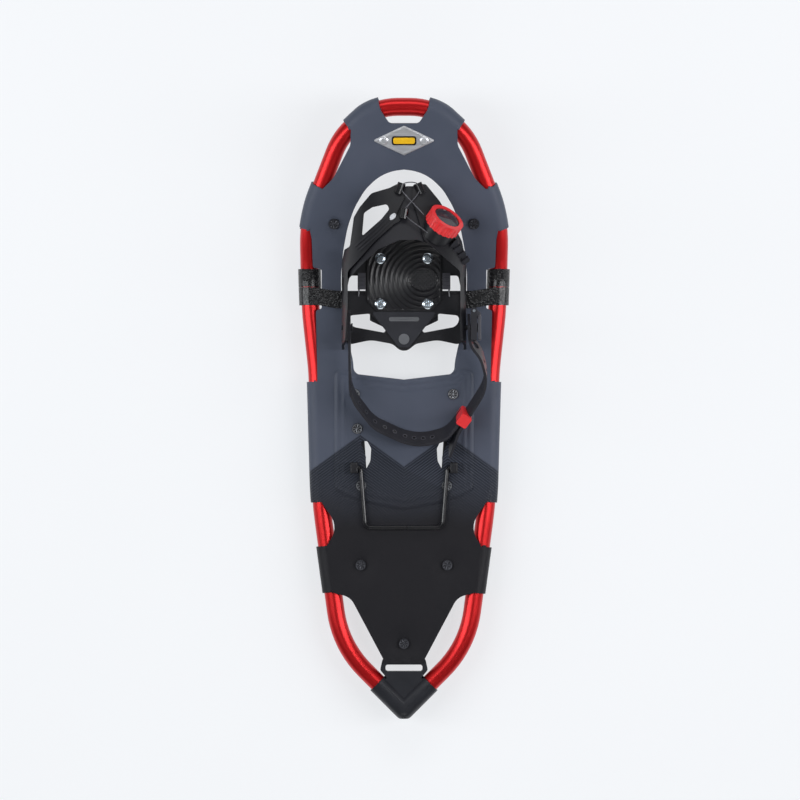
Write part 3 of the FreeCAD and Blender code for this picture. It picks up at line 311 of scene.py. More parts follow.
# %% Powder coated steel with scraped tips
steel = Finish("crampon_steel")
speckle = steel.noise(0.5, 2.0)
scrapes = steel.noise(6.0, 5.0, (1.0, 1.0, 0.2), 0.65)
low = (14.0 - steel.along("Z")) / 14.0
bare = ((low + scrapes - 0.9) * 9.0).clamp()
steel_tint = steel.blend(speckle, paint(26, 27, 31), paint(46, 47, 52))
steel_tint = steel.blend(bare, steel_tint, paint(168, 170, 172))
steel_finish = steel.surface(steel_tint, 0.5 - bare * 0.18, steel.bump(speckle, 0.05), bare * 0.6 + 0.35)
print("crampon finish")

# %% Pebbled rubber of the suspension straps
pebble = Finish("pebbled_rubber")
bead = pebble.pebbles(2.6)
pebble_rise_and_shade = (1.0 - bead * 1.6).clamp()
# Painted shade: the gaps between the pebbles are painted darker and their crowns lighter, following the bump.
pebble_tint_with_painted_shade = pebble.blend(pebble_rise_and_shade, paint(8, 8, 10), paint(26, 26, 30))
pebble_finish = pebble.surface(pebble_tint_with_painted_shade, 0.34 - pebble_rise_and_shade * 0.14, pebble.bump(pebble_rise_and_shade, 0.7), Coat_Weight=0.3)
print("rubber finish")

# %% Brushed badge metal and braided wire
badge = Finish("brushed_badge")
brushed = badge.noise(0.8, 3.0, (0.05, 1.0, 1.0))
badge_finish = badge.surface(
    badge.blend(brushed, paint(192, 193, 197), paint(232, 233, 236)), brushed * 0.2 + 0.3,
    badge.bump(brushed, 0.02), 0.9
)
wire = Finish("lace_wire")
twist = (wire.along("X") * 5.5 + wire.along("Y") * 5.5).wave()
wire_finish = wire.surface(
    wire.blend(twist * 0.5 + 0.5, paint(70, 70, 76), paint(120, 120, 126)), 0.42, wire.bump(twist, 0.15)
)
print("metal finishes")

# %% [markdown]
# ## Shaping tools
# Most parts of a snowshoe are cut from sheet and then bent, stamped or wrapped. So
# the main tool does the same: draw an outline, round its corners with the bevel
# operator, fill it, cut it into a grid with planes, and move the grid to its shape.
# Outlines are in millimetres and the finished mesh is scaled to metres.

# %% Outline and cut sheet
MM = 0.001


def rim(bm, points, radii=(), segments=5):
    """A closed line whose corners are rounded with the given radii."""
    corners = [bm.verts.new((x, y, 0.0)) for x, y in points]
    face = bm.faces.new(corners)
    cuts = []
    for i, radius in enumerate(radii):
        here, before, after = corners[i].co, corners[i - 1].co, corners[(i + 1) % len(corners)].co
        turn = (here - before).angle(after - here)
        room = 0.49 * min((here - before).length, (after - here).length)
        cuts.append((corners[i], min(radius * math.tan(turn / 2), room)))
    for corner, reach in cuts:
        if reach > 0.05:
            bmesh.ops.bevel(bm, geom=[corner], affect="VERTICES", offset=reach, segments=segments,
                            profile=0.5, material=-1)
    bmesh.ops.delete(bm, geom=[f for f in bm.faces], context="FACES_ONLY")


def cut_sheet(outlines, across=(), along=()):
    """A flat sheet with holes, cut by planes at the given stations."""
    bm = bmesh.new()
    for points, radii in outlines:
        rim(bm, points, radii)
    bmesh.ops.triangle_fill(bm, use_beauty=True, use_dissolve=False, edges=bm.edges[:], normal=(0, 0, 1))
    for normal, stations in (((1, 0, 0), across), ((0, 1, 0), along)):
        for station in stations:
            spot = tuple(n * station for n in normal)
            geom = bm.verts[:] + bm.edges[:] + bm.faces[:]
            bmesh.ops.bisect_plane(bm, geom=geom, dist=0.0005, plane_co=spot, plane_no=normal)
    bm.faces.ensure_lookup_table()
    bm.normal_update()
    if bm.faces[0].normal.z < 0:
        bmesh.ops.reverse_faces(bm, faces=bm.faces[:])
    return bm


def steps(low, high, pitch):
    return list(np.arange(low, high, pitch))


def mirrored(half):
    """The whole outline from its right half, which starts and ends on the centre line."""
    return half + [(-x, y, r) for x, y, r in reversed(half) if abs(x) > 0.01]


def outline(corners):
    return [c[:2] for c in corners], [c[2] for c in corners]


print("sheet tools")


# %% Thickness, edges and hand over
def thicken(bm, top, bottom):
    """Turn a flat sheet into a closed body: top(x, y) and bottom(x, y) are its heights."""
    made = bmesh.ops.extrude_face_region(bm, geom=bm.faces[:], use_keep_orig=True)
    upper = {v for v in made["geom"] if isinstance(v, bmesh.types.BMVert)}
    for v in bm.verts:
        v.co.z = top(v.co.x, v.co.y) if v in upper else bottom(v.co.x, v.co.y)
    bmesh.ops.recalc_face_normals(bm, faces=bm.faces[:])


def walled(bm, thickness):
    """Give a shaped sheet its thickness, away from the side that its faces look to."""
    bmesh.ops.dissolve_degenerate(bm, dist=0.01, edges=bm.edges[:])
    bm.normal_update()
    made = bmesh.ops.extrude_face_region(bm, geom=bm.faces[:], use_keep_orig=True)
    for v in made["geom"]:
        if isinstance(v, bmesh.types.BMVert):
            v.co -= v.normal * thickness
    bmesh.ops.recalc_face_normals(bm, faces=bm.faces[:])


def hand_over(bm, name, finish, body, stands_for=(), crisp=32.0, scale=MM):
    """Scale to metres, mark the crisp edges, and put the piece on its body."""
    bmesh.ops.scale(bm, vec=(scale,) * 3, verts=bm.verts)
    for face in bm.faces:
        face.smooth = True
    for edge in bm.edges:
        edge.smooth = len(edge.link_faces) == 2 and edge.calc_face_angle(0.0) < math.radians(crisp)
    mesh = bpy.data.meshes.new(name)
    bm.to_mesh(mesh)
    bm.free()
    mesh.materials.append(finish)
    piece = bpy.data.objects.new(name, mesh)
    scene.collection.objects.link(piece)
    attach(piece, body)
    if stands_for:
        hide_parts(*stands_for)
    print(name, len(mesh.polygons), "faces on", body)
    return piece


def eased(node, finish, width=0.35, segments=2):
    """A copy of a part with its edges eased by the bevel modifier."""
    bm = bmesh.new()
    bm.from_mesh(nodes[node].data)
    bmesh.ops.remove_doubles(bm, verts=bm.verts, dist=0.000002)
    bmesh.ops.dissolve_limit(bm, angle_limit=math.radians(0.6), verts=bm.verts, edges=bm.edges)
    piece = hand_over(bm, node + "_dressed", finish, carrier[node], (node,), scale=1.0)
    ease = piece.modifiers.new("ease", "BEVEL")
    ease.width = width * MM
    ease.segments = segments
    ease.limit_method = "ANGLE"
    ease.angle_limit = math.radians(32)
    ease.use_clamp_overlap = True
    ease.harden_normals = True
    return piece


print("hand over ready")

# %% [markdown]
# ## The side view
# Seen from the side the shoe is flat, then bends up at the nose on a 120 mm radius
# to 16 degrees. The deck is drawn flat, with its length measured along that line, and
# then lifted onto it.

# %% Bend of the nose
TUBE_LEVEL = 30.0
NOSE_ANGLE = math.radians(16.0)
NOSE_BEND = 120.0
NOSE_START = 140.0
bend_start = NOSE_START - NOSE_BEND * math.tan(NOSE_ANGLE / 2)
bend_length = NOSE_BEND * NOSE_ANGLE
bend_end = bend_start + NOSE_BEND * math.sin(NOSE_ANGLE)
bend_rise = NOSE_BEND * (1 - math.cos(NOSE_ANGLE))


def unbent(y):
    """Length along the side view for a place y on the floor plan."""
    if y <= bend_start:
        return y
    if y >= bend_end:
        return bend_start + bend_length + (y - bend_end) / math.cos(NOSE_ANGLE)
    return bend_start + NOSE_BEND * math.asin((y - bend_start) / NOSE_BEND)


def lifted(x, v, level):
    """The point over a place on the flat pattern, level mm above the tube's axis."""
    if v <= bend_start:
        angle, y, z = 0.0, v, TUBE_LEVEL
    elif v <= bend_start + bend_length:
        angle = (v - bend_start) / NOSE_BEND
        y = bend_start + NOSE_BEND * math.sin(angle)
        z = TUBE_LEVEL + NOSE_BEND * (1 - math.cos(angle))
    else:
        angle = NOSE_ANGLE
        run = v - bend_start - bend_length
        y = bend_end + run * math.cos(angle)
        z = TUBE_LEVEL + bend_rise + run * math.sin(angle)
    square = Vector((0.0, -math.sin(angle), math.cos(angle)))
    return Vector((x, y, z)) + square * level, square, Vector((0.0, math.cos(angle), math.sin(angle)))


print("nose tip rises to", round(lifted(0, unbent(317), 0)[0].z, 1), "mm")

# %% [markdown]
# ## The frame's line
# The tube's own line is needed to wrap the deck round it: each point of a hem goes
# round the tube by the angle that its distance past the tube's axis gives.

# %% Centre line of the tube
TUBE_HALF = [(0, -307.8, 0), (65.4, -242.4, 105), (85.5, -94.2, 400), (89.3, 40, 300), (95.9, 100, 300),
             (97.2, 140, 120), (98.2, 194.8, 141), (65, 277.8, 71), (31.4, 308.3, 63), (0, 308.3, 0)]
line = bmesh.new()
rim(line, *outline(mirrored([(x, unbent(y), r) for x, y, r in TUBE_HALF])), segments=24)
walk = []
line.verts.ensure_lookup_table()
here, before = line.verts[0], None
while here and here not in walk:
    walk.append(here)
    ahead = [e.other_vert(here) for e in here.link_edges if e.other_vert(here) not in walk]
    here = ahead[0] if ahead else None
tube_line = np.array([v.co[:2] for v in walk])
line.free()
gaps = np.linalg.norm(np.roll(tube_line, -1, 0) - tube_line, axis=1)
fine = [tube_line[i] + (tube_line[(i + 1) % len(tube_line)] - tube_line[i]) * t
        for i in range(len(tube_line)) for t in np.arange(0, 1, min(1.0, 2.0 / gaps[i]))]
tube_line = np.array(fine)
spin = np.sum(tube_line[:, 0] * np.roll(tube_line[:, 1], -1) - np.roll(tube_line[:, 0], -1) * tube_line[:, 1])
if spin > 0:
    tube_line = tube_line[::-1]
run = np.roll(tube_line, -1, 0) - np.roll(tube_line, 1, 0)
outward = np.column_stack([-run[:, 1], run[:, 0]]) / np.linalg.norm(run, axis=1)[:, None]
print(len(tube_line), "points, widest", round(float(tube_line[:, 0].max()), 1), "mm")


def beyond_tube(x, v):
    """Distance outside the tube's axis, the nearest point on it, and the outward way."""
    gap = np.array([x, v]) - tube_line
    nearest = int(np.argmin((gap ** 2).sum(1)))
    way = outward[nearest]
    return float(gap[nearest] @ way), tube_line[nearest], way


# %% [markdown]
# ## The deck
# The deck is one sheet of coated cloth, cut flat with tabs along its sides. Each tab
# is pulled round the tube and riveted to the sheet's underside. It could be a flat
# plate with separate sleeves, but then the wrap's edge would have no thickness, so
# the flat pattern is cut with its tabs and rolled.

# %% Flat pattern with its tabs
SKIN_RADIUS = 11.15
DECK_RISE = 10.85
DECK_THICKNESS = 1.8
TAB = math.pi * SKIN_RADIUS + 15.0
DECK_HALF = [
    [(0, 294, 0), (15, 294, 5)],
    ("tab", (24, 307.3), (53, 287)),
    [(54.5, 272, 12), (72, 239, 30), (83, 228.5, 0)],
    ("tab", (83.5, 228.5), (97, 186)),
    [(94.5, 178, 4), (93.5, 148.5, 3), (84.5, 146.5, 2), (84.5, 104.5, 2), (90.5, 102.5, 3), (89, 36, 6)],
    ("tab", (88, 30), (84.5, -94.2)),
    [(68, -119.5, 20)],
    ("tab", (78.4, -139), (71.5, -188)),
    [(55, -192, 15), (20, -258, 3), (20, -259.5, 0), (0, -259.5, 0)],
]


def nearest_station(x, y):
    return int(np.argmin(((tube_line - np.array([x, unbent(y)])) ** 2).sum(1)))


def flat_corners(parts):
    """The right half of the flat pattern, its tabs drawn out past the tube."""
    corners = []
    for part in parts:
        if part[0] != "tab":
            corners += [(x, unbent(y), r) for x, y, r in part]
            continue
        first, last = (nearest_station(*end) for end in part[1:])
        way = 1 if last > first else -1
        stations = list(range(first, last, 4 * way)) + [last]
        corners.append((*tube_line[first], 0))
        corners += [(*(tube_line[i] + outward[i] * TAB), 0) for i in stations]
        corners.append((*tube_line[last], 0))
    return corners


TOE_HOLE = [(0, 248, 0), (13, 246.4, 40), (27, 240, 40), (40, 227.5, 40), (50.5, 210, 60), (57.8, 190, 80),
            (62.3, 166, 90), (64.7, 141, 120), (64.4, 114, 90), (61.2, 88, 80), (55.2, 64, 80), (52.2, 50, 50),
            (51.5, 37.5, 9), (27, 33.4, 160), (0, 31.5, 0)]
HOOK_SLOT = [(-45, -31.7, 2), (-37.8, -31.7, 2), (-33.7, -39, 5), (-34.5, -52, 8), (-39.9, -62.4, 1),
             (-39, -48, 6)]
toe_hole = mirrored([(x, unbent(y), r) for x, y, r in TOE_HOLE])
hook_right = [(-x, y, r) for x, y, r in reversed(HOOK_SLOT)]
pattern = [outline(mirrored(flat_corners(DECK_HALF))), outline(toe_hole), outline(HOOK_SLOT), outline(hook_right)]
COARSE = 5.0
FINE = 2.4
columns = steps(-150, -60, FINE) + steps(-60, 60, COARSE) + steps(60, 150, FINE)
rows = steps(-262, 300, COARSE) + steps(300, 375, 2.5)
deck_mesh = cut_sheet(pattern, columns, rows)
print("flat deck", len(deck_mesh.faces), "faces")

# %% Roll the tabs round the tube
DIMPLES = [(71.5, 193.5), (50.5, 16.5), (48, -19), (44, -77.5), (44.5, -159), (0, -239.7)]


DIMPLE_DEPTH = 1.7
DIMPLE_SPREAD = 170.0


def dimple(x, v):
    """The cloth is drawn down a little round each rivet."""
    reach = [(abs(x) - a) ** 2 + (v - unbent(b)) ** 2 for a, b in DIMPLES]
    return sum(-DIMPLE_DEPTH * math.exp(-gap / DIMPLE_SPREAD) for gap in reach)


def rolled(x, v):
    past, axis, way = beyond_tube(x, v)
    if past <= 0:
        fade = min(1.0, -past / 14.0)
        return lifted(x, v, DECK_RISE + fade * dimple(x, v))[0]
    radius = DECK_RISE + (SKIN_RADIUS - DECK_RISE) * min(1.0, past / 8.0)
    turn = past / SKIN_RADIUS
    base, square, ahead = lifted(axis[0], axis[1], 0.0)
    side = Vector((way[0], 0, 0)) + ahead * way[1]
    if turn <= math.pi:
        return base + side * radius * math.sin(turn) + square * radius * math.cos(turn)
    return base - square * radius - side * (past - math.pi * SKIN_RADIUS)


flat_area = sum(f.calc_area() for f in deck_mesh.faces)
span = np.ptp([v.co[:2] for v in deck_mesh.verts], axis=0)
for v in deck_mesh.verts:
    v.co = rolled(v.co.x, v.co.y)
walled(deck_mesh, DECK_THICKNESS)
print("deck spans", [round(float(s)) for s in span], "mm flat, area", round(flat_area / 1e6, 4), "m2")

# %% [markdown]
# ### Deck finish
# Coated cloth: slate grey at the nose, fading to black at the tail, with a fine
# weave under the coating. Ribs of thin ridges cross the middle in plain chevrons.

# %% Deck finish
PEAK_ASIDE = 45.0
PEAK_SLOPE = 0.72
RIB_PITCH = 2.1
cloth = Finish("deck_cloth")
wide, far = cloth.along("X"), cloth.along("Y")
mottle = cloth.noise(55.0, 3.0)
weave = (wide * 5.2).wave() * (far * 5.2).wave()
slate = cloth.blend(mottle, paint(66, 73, 87), paint(84, 89, 104))
peak_gap = abs(abs(wide) - PEAK_ASIDE) * PEAK_SLOPE
ridge_line = -24.0 - peak_gap
below = ((ridge_line - far) / 3.0).clamp()
fade = ((-58.0 - far + (mottle - 0.5) * 20.0) / 66.0).clamp()
fade = fade * fade * (3.0 - fade * 2.0)
rib = ((far + peak_gap) * RIB_PITCH).wave()
rib_mask = below * (1.0 - fade)
shaded = cloth.blend(below * 0.55, slate, paint(36, 40, 50))
lined = cloth.blend(rib_mask * (rib * 0.5 + 0.5) * 0.9, shaded, paint(22, 25, 33))
facet = (((far + wide * 0.55 + 58.0) * -1.0) / 2.0).clamp() * ((far + 150.0) / 4.0).clamp()
lined = cloth.blend(facet * below * 0.4 * (1.0 - fade), lined, paint(30, 34, 42))
tone = cloth.blend(fade, lined, paint(22, 21, 26))
fray = cloth.bump(cloth.noise(0.7, 2.0), 0.03, cloth.bump(weave, 0.03, cloth.bump(rib * rib_mask, 0.18)))
cloth_finish = cloth.surface(tone, mottle * 0.12 + 0.4, fray, Specular_IOR_Level=0.26)
deck = hand_over(deck_mesh, "deck_sheet", cloth_finish, "frame", ("deck",), 40.0)
flat_area * 1e-6

# %% [markdown]
# ## Stamped parts
# The footbed, the heel pad, screw heads and rivet faces are plates with a relief in
# them. Each is an outline cut into a fine grid whose top is lifted by a small sum,
# which is quicker to shape than many cuts and keeps ridges evenly spaced.

# %% A stamped plate, and where the edge is
def edge_gap(points):
    """A function that gives the distance from a place to an outline."""
    first = np.array(points, float)
    side = np.roll(first, -1, 0) - first
    length = (side ** 2).sum(1)

    def gap(x, y):
        to = np.array([x, y]) - first
        share = np.clip((to * side).sum(1) / length, 0, 1)
        return float(np.sqrt(((to - side * share[:, None]) ** 2).sum(1)).min())

    return gap


def swell(gap, width):
    """A smooth hump, 1 in its middle."""
    return math.exp(-((gap / width) ** 2))


def stamped(target, outlines, pitch, top, bottom, centre=(0, 0, 0), facing=(0, 0, 1), turn=0.0):
    """Add a stamped plate to target, its flat drawing laid at centre and facing that way."""
    corners = [p for points, _ in outlines for p in points]
    low, high = np.min(corners, 0), np.max(corners, 0)
    bm = cut_sheet(outlines, steps(low[0] + pitch / 2, high[0], pitch), steps(low[1] + pitch / 2, high[1], pitch))
    thicken(bm, top, bottom)
    aim = Vector((0, 0, 1)).rotation_difference(Vector(facing).normalized()).to_matrix().to_4x4()
    place = Matrix.Translation(centre) @ aim @ Matrix.Rotation(turn, 4, "Z")
    bmesh.ops.transform(bm, matrix=place, verts=bm.verts[:])
    spare = bpy.data.meshes.new("spare")
    bm.to_mesh(spare)
    bm.free()
    target.from_mesh(spare)
    bpy.data.meshes.remove(spare)


def disc(radius, sides=28):
    return [([(radius * math.cos(2 * math.pi * i / sides), radius * math.sin(2 * math.pi * i / sides))
              for i in range(sides)], [])]


print("stamping ready")

# %% Heel pad with its raised borders
PAD_HALF = [(0, 31.5, 0), (51.5, 37.5, 9), (55.5, 41.5, 2), (71.6, 41.5, 12), (71.6, -82, 18), (60, -88, 14),
            (36, -96, 14), (0, -103, 30)]
PAD_TOP = 42.05
DECK_TOP = 40.85
pad_outline = outline(mirrored(PAD_HALF))
pad_gap = edge_gap(pad_outline[0])


def pad_relief(x, y):
    gap = pad_gap(x, y)
    line_one = 0.8 * swell(gap - 3.4, 1.2)
    line_two = 0.7 * swell(gap - 10.0, 1.1)
    return PAD_TOP - 0.8 * swell(gap, 1.4) + line_one + line_two


pad_mesh = bmesh.new()
stamped(pad_mesh, [pad_outline, outline(HOOK_SLOT), outline(hook_right)], 1.6, pad_relief, lambda x, y: DECK_TOP)
hand_over(pad_mesh, "heel_pad_skin", cloth_finish, "frame", ("heel_pad",), 50.0)

# %% [markdown]
# ## Footbed
# The ball of the boot stands on a moulded plate whose grip rings are drawn round a
# small oval to one side. The oval holds a plain cross hatch.

# %% Footbed
FOOT_TOP = 49.8
FOOT_BASE = 45.8
RING_CENTRE = (20.0, 133.4)
RING_PITCH = 5.1
SCREWS = [(sx * 24.2, y) for sx in (-1, 1) for y in (155.6, 109.1)]
foot_outline = ([(38, 176), (38, 112), (28, 101.5), (-28, 101.5), (-38, 112), (-38, 176)], [6, 4, 3, 3, 4, 6])
foot_gap = edge_gap(foot_outline[0])


def foot_relief(x, y):
    dx, dy = x - RING_CENTRE[0], y - RING_CENTRE[1]
    oval = math.hypot(dx / 15.3, dy / 12.3)
    around = math.hypot(dx, dy * 1.05) - 13.6
    if min(math.hypot(x - sx, y - sy) for sx, sy in SCREWS) < 6.6 or foot_gap(x, y) < 1.6:
        return FOOT_TOP - 0.9
    if oval < 1.0:
        hatch = max(math.sin((dx + dy) * 1.5), math.sin((dx - dy) * 1.5))
        return FOOT_TOP - 1.5 + 0.35 * max(0.0, hatch) if oval < 0.92 else FOOT_TOP - 0.3
    ridge = 0.5 + 0.5 * math.cos(2 * math.pi * around / RING_PITCH)
    return FOOT_TOP - 1.0 + 1.0 * ridge ** 3


foot_mesh = bmesh.new()
stamped(foot_mesh, [foot_outline], 0.7, foot_relief, lambda x, y: FOOT_BASE)
hand_over(foot_mesh, "footbed_tread", footbed_finish, "binding", ("footbed",), 60.0)

# %% Screw heads with a cross recess
def screw_relief(x, y):
    away = math.hypot(x, y)
    dome = 1.5 - 1.0 * (away / 5.5) ** 4
    cross = min(abs(x), abs(y)) < 0.8 and away < 3.6
    return dome - (0.9 if cross else 0.0)


screw_mesh = bmesh.new()
for i, (x, y) in enumerate(SCREWS):
    stamped(screw_mesh, disc(5.5), 0.5, screw_relief, lambda x, y: 0.0, (x, y, FOOT_TOP - 0.4), turn=0.5 + i * 0.9)
hand_over(screw_mesh, "screw_heads", zinc_finish, "binding", ("footbed_screws",), 40.0)

# %% Pressed rib of the clamp plate
def bar(width, height, corner):
    w, h = width / 2, height / 2
    return [([(w, h), (w, -h), (-w, -h), (-w, h)], [corner] * 4)]


RIB_STATION = 93.4
clamp_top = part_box("rear_clamp_plate")[1][2] / MM
rib_highlight_mesh = bmesh.new()
stamped(rib_highlight_mesh, bar(31, 4.4, 2.1), 0.6, lambda x, y: 1.0 - 0.16 * y * y, lambda x, y: -0.3,
        (0.0, RIB_STATION, clamp_top))
# The rib takes the lighter rivet grey: a painted highlight along the pressed rib, which is the plate's own dark
# steel.
hand_over(rib_highlight_mesh, "clamp_plate_rib_highlight", rivet_finish, "binding", crisp=50.0)

# %% [markdown]
# ## Rivet faces
# Every rivet head is pressed with a small star of spokes inside a rim. The heads are
# there already, so only their faces are added, proud by a few tenths.

# %% Rivet faces
PAD_RIVETS = [(50.5, 16.5), (48.0, -19.0), (44.0, -77.5)]


def star(x, y):
    away, angle = math.hypot(x, y), math.atan2(y, x)
    if away > 4.2:
        return 0.55
    if away < 1.1:
        return 0.5
    return 0.55 * max(0.0, math.cos(8 * angle)) ** 0.7 - 0.1


def rivet_faces(name, spots, level, finish=None, radius=5.1):
    bm = bmesh.new()
    for i, (x, y) in enumerate(spots):
        centre, square, _ = lifted(x, unbent(y), level - TUBE_LEVEL)
        stamped(bm, disc(radius), 0.55, star, lambda x, y: -0.2, centre, square, i * 0.7)
    return hand_over(bm, name, finish or rivet_finish, "frame", crisp=40.0)


rivet_faces("pad_rivet_faces", [(s * x, y) for x, y in PAD_RIVETS for s in (-1, 1)], PAD_TOP + 1.3)
rivet_faces("deck_rivet_faces", [(s * x, y) for x, y in ((71.5, 193.5), (44.5, -159)) for s in (-1, 1)]
            + [(0.0, -239.7)], DECK_TOP + 1.3, deck_rivet_finish)

# %% [markdown]
# ## Badge
# A brushed plate with a plain amber bar in a dark frame, and nothing written on it.

# %% Amber bar
amber = Finish("amber_enamel")
amber_finish = amber.surface(
    amber.blend(amber.noise(3.0), paint(236, 176, 20), paint(246, 200, 36)), 0.25,
    amber.bump(amber.noise(1.0), 0.02),
    Coat_Weight=0.6,
)


badge_level = DECK_RISE + 1.0
bar_centre, bar_facing, _ = lifted(0.0, unbent(277.0), badge_level)
DIAMOND = ([(32, 0), (0, -15.4), (-32, 0), (0, 15.4)], [1.5, 1.5, 1.5, 1.5])
diamond_gap = edge_gap(DIAMOND[0])


def diamond_relief(x, y):
    return 0.25 * swell(diamond_gap(x, y) - 1.5, 0.8) - 0.5 * swell(diamond_gap(x, y), 0.4)


plate_mesh = bmesh.new()
stamped(plate_mesh, [DIAMOND], 1.0, diamond_relief, lambda x, y: -1.0, bar_centre, bar_facing)
hand_over(plate_mesh, "badge_plate", badge_finish, "frame", ("nose_badge",))


def stud_relief(x, y):
    return 1.4 - 0.0022 * (x * x + y * y) ** 2


stud_mesh = bmesh.new()
for x in (-20.5, 20.5):
    spot = lifted(x, unbent(277.0), badge_level)[0]
    stamped(stud_mesh, disc(4.6), 0.7, stud_relief, lambda x, y: -0.2, spot, bar_facing)
hand_over(stud_mesh, "badge_studs", badge_finish, "frame", ("badge_rivets",), 50.0)
frame_mesh = bmesh.new()
stamped(frame_mesh, bar(25, 9.4, 2.5), 3.0, lambda x, y: 0.35, lambda x, y: -0.3, bar_centre, bar_facing)
hand_over(frame_mesh, "badge_bar_frame", rail_finish, "frame")
amber_mesh = bmesh.new()
stamped(amber_mesh, bar(22, 6.4, 2.0), 1.0, lambda x, y: 0.75 - 0.02 * y * y, lambda x, y: 0.1,
        bar_centre, bar_facing)
hand_over(amber_mesh, "badge_bar", amber_finish, "frame")

# %% [markdown]
# ## Dial
# The lace is wound by a knurled ring with a dished black cap. The ring is the
# model's own, with eased edges, and the cap is stamped with shallow facets.

# %% Dial cap
DIAL_SEAT = Vector((34.0, 181.0, 97.0))
DIAL_AXIS = Vector((0.50, 0.71, 0.50)).normalized()


def cap_relief(x, y):
    away, angle = math.hypot(x, y), math.atan2(y, x)
    ribs = 0.5 * max(0.0, math.cos(3 * angle + away * 0.25)) if 3.5 < away < 12.2 else 0.0
    rim_line = 0.5 if 12.6 < away < 13.6 else 0.0
    return 2.2 + 0.35 * math.cos(away * 0.2) + ribs * 0.8 + rim_line - (0.7 if away > 13.7 else 0.0)


cap_mesh = bmesh.new()
stamped(cap_mesh, disc(13.9, 48), 0.8, cap_relief, lambda x, y: 0.0, DIAL_SEAT + DIAL_AXIS * 16.4, DIAL_AXIS)
hand_over(cap_mesh, "dial_cap_face", dark_cap, "dial_knob", ("dial_cap",), 40.0)
eased("dial_ring", red_finish, 0.5, 3)
eased("dial_base", harness_finish, 0.6)

# %% [markdown]
# ## Lace
# One thin wire lace leaves the dial, crosses to the two guides at the toe, comes
# back through the guide in the middle and returns to the wing beside the dial.
# Its route is a smooth curve through a few points above the wing. The
# wing itself carries three raised lines and a bead where a lace end is moored.

# %% The tunnel over the boot
ARCH_Y = (56.0, 150.0, 236.0)
ARCH_WIDTH = (63.5, 63.5, 46.0)
ARCH_HEIGHT = (92.0, 72.0, 45.0)
WALL_RISE = 24.0


def arch_height(x, y):
    """Height of the wings' outer skin."""
    width = float(np.interp(y, ARCH_Y, ARCH_WIDTH))
    rise = float(np.interp(y, ARCH_Y, ARCH_HEIGHT)) - WALL_RISE
    return FOOT_BASE + WALL_RISE + rise * math.sqrt(max(0.0, 1 - (x / width) ** 2))


# %% Raised lines and a lace bead on the left wing
RIDGE_LINE = [(-48.0, 163.0), (-28.0, 180.5), (-14.0, 194.5)]
RIDGE_SIDE = Vector((-0.7, 0.71))
RIDGE_GAP = 3.2
RIDGE_WIDTH = 1.5
RIDGE_RISE = 0.55
SUNK = 0.4
BEAD = (-11.5, 195.5)


def strip(offset, width):
    """A thin strip beside the ridge line."""
    near = [tuple(Vector(p) + RIDGE_SIDE * (offset - width / 2)) for p in RIDGE_LINE]
    far_side = [tuple(Vector(p) + RIDGE_SIDE * (offset + width / 2)) for p in RIDGE_LINE]
    return [(near + far_side[::-1], [0.5, 30, 0.5, 0.5, 30, 0.5])]


ridge_mesh = bmesh.new()
for offset in (-RIDGE_GAP, 0.0, RIDGE_GAP):
    stamped(ridge_mesh, strip(offset, RIDGE_WIDTH), 0.75, lambda x, y: arch_height(x, y) + RIDGE_RISE,
            lambda x, y: arch_height(x, y) - SUNK)
hand_over(ridge_mesh, "wing_ridges", vamp_finish, "binding", crisp=60.0)


def bead_top(x, y):
    return arch_height(x, y) + 1.5 - 0.09 * ((x - BEAD[0]) ** 2 + (y - BEAD[1]) ** 2)


bead_mesh = bmesh.new()
oval = [(BEAD[0] + 3.2 * x + 1.5 * y, BEAD[1] + 3.1 * x - 1.9 * y) for x, y in disc(1.0)[0][0]]
stamped(bead_mesh, [(oval, [])], 0.5, bead_top, lambda x, y: arch_height(x, y) - SUNK)
hand_over(bead_mesh, "lace_bead", bead_finish, "binding", crisp=60.0)

# %% Lace
LACE = [(20.0, 197.5, 4.5), (-1.5, 220.5, 3.0), (-4.5, 225.5, 3.0), (0.5, 230.5, 2.0), (12.0, 231.0, 2.0),
        (17.0, 225.5, 3.0), (13.5, 217.0, 3.0), (1.5, 204.5, 3.0), (-0.5, 198.5, 3.0), (4.5, 193.0, 3.0),
        (22.0, 180.5, 3.6), (28.0, 175.5, 5.0)]
LACE_DIAMETER = 1.1
lace_points = [Vector((x, y, arch_height(x, min(y, 235.0)) + above)) * MM for x, y, above in LACE]
lace_curve = bpy.data.curves.new("lace_line", "CURVE")
lace_curve.dimensions = "3D"
lace_curve.bevel_depth = LACE_DIAMETER / 2 * MM
lace_curve.bevel_resolution = 3
lace_curve.resolution_u = 8
lace_curve.use_fill_caps = True
strand = lace_curve.splines.new("NURBS")
strand.points.add(len(lace_points) - 1)
for point, place in zip(strand.points, lace_points):
    point.co = (*place, 1.0)
strand.order_u = 3
strand.use_endpoint_u = True
lace_curve.materials.append(wire_finish)
lace = bpy.data.objects.new("lace_cord", lace_curve)
scene.collection.objects.link(lace)
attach(lace, "binding")
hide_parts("lace")
print("lace laid through", len(lace_points), "points")

# %% [markdown]
# ## Eased parts
# Cut and moulded parts never have knife edges. A copy of the part takes a small
# bevel, and stands in for it.

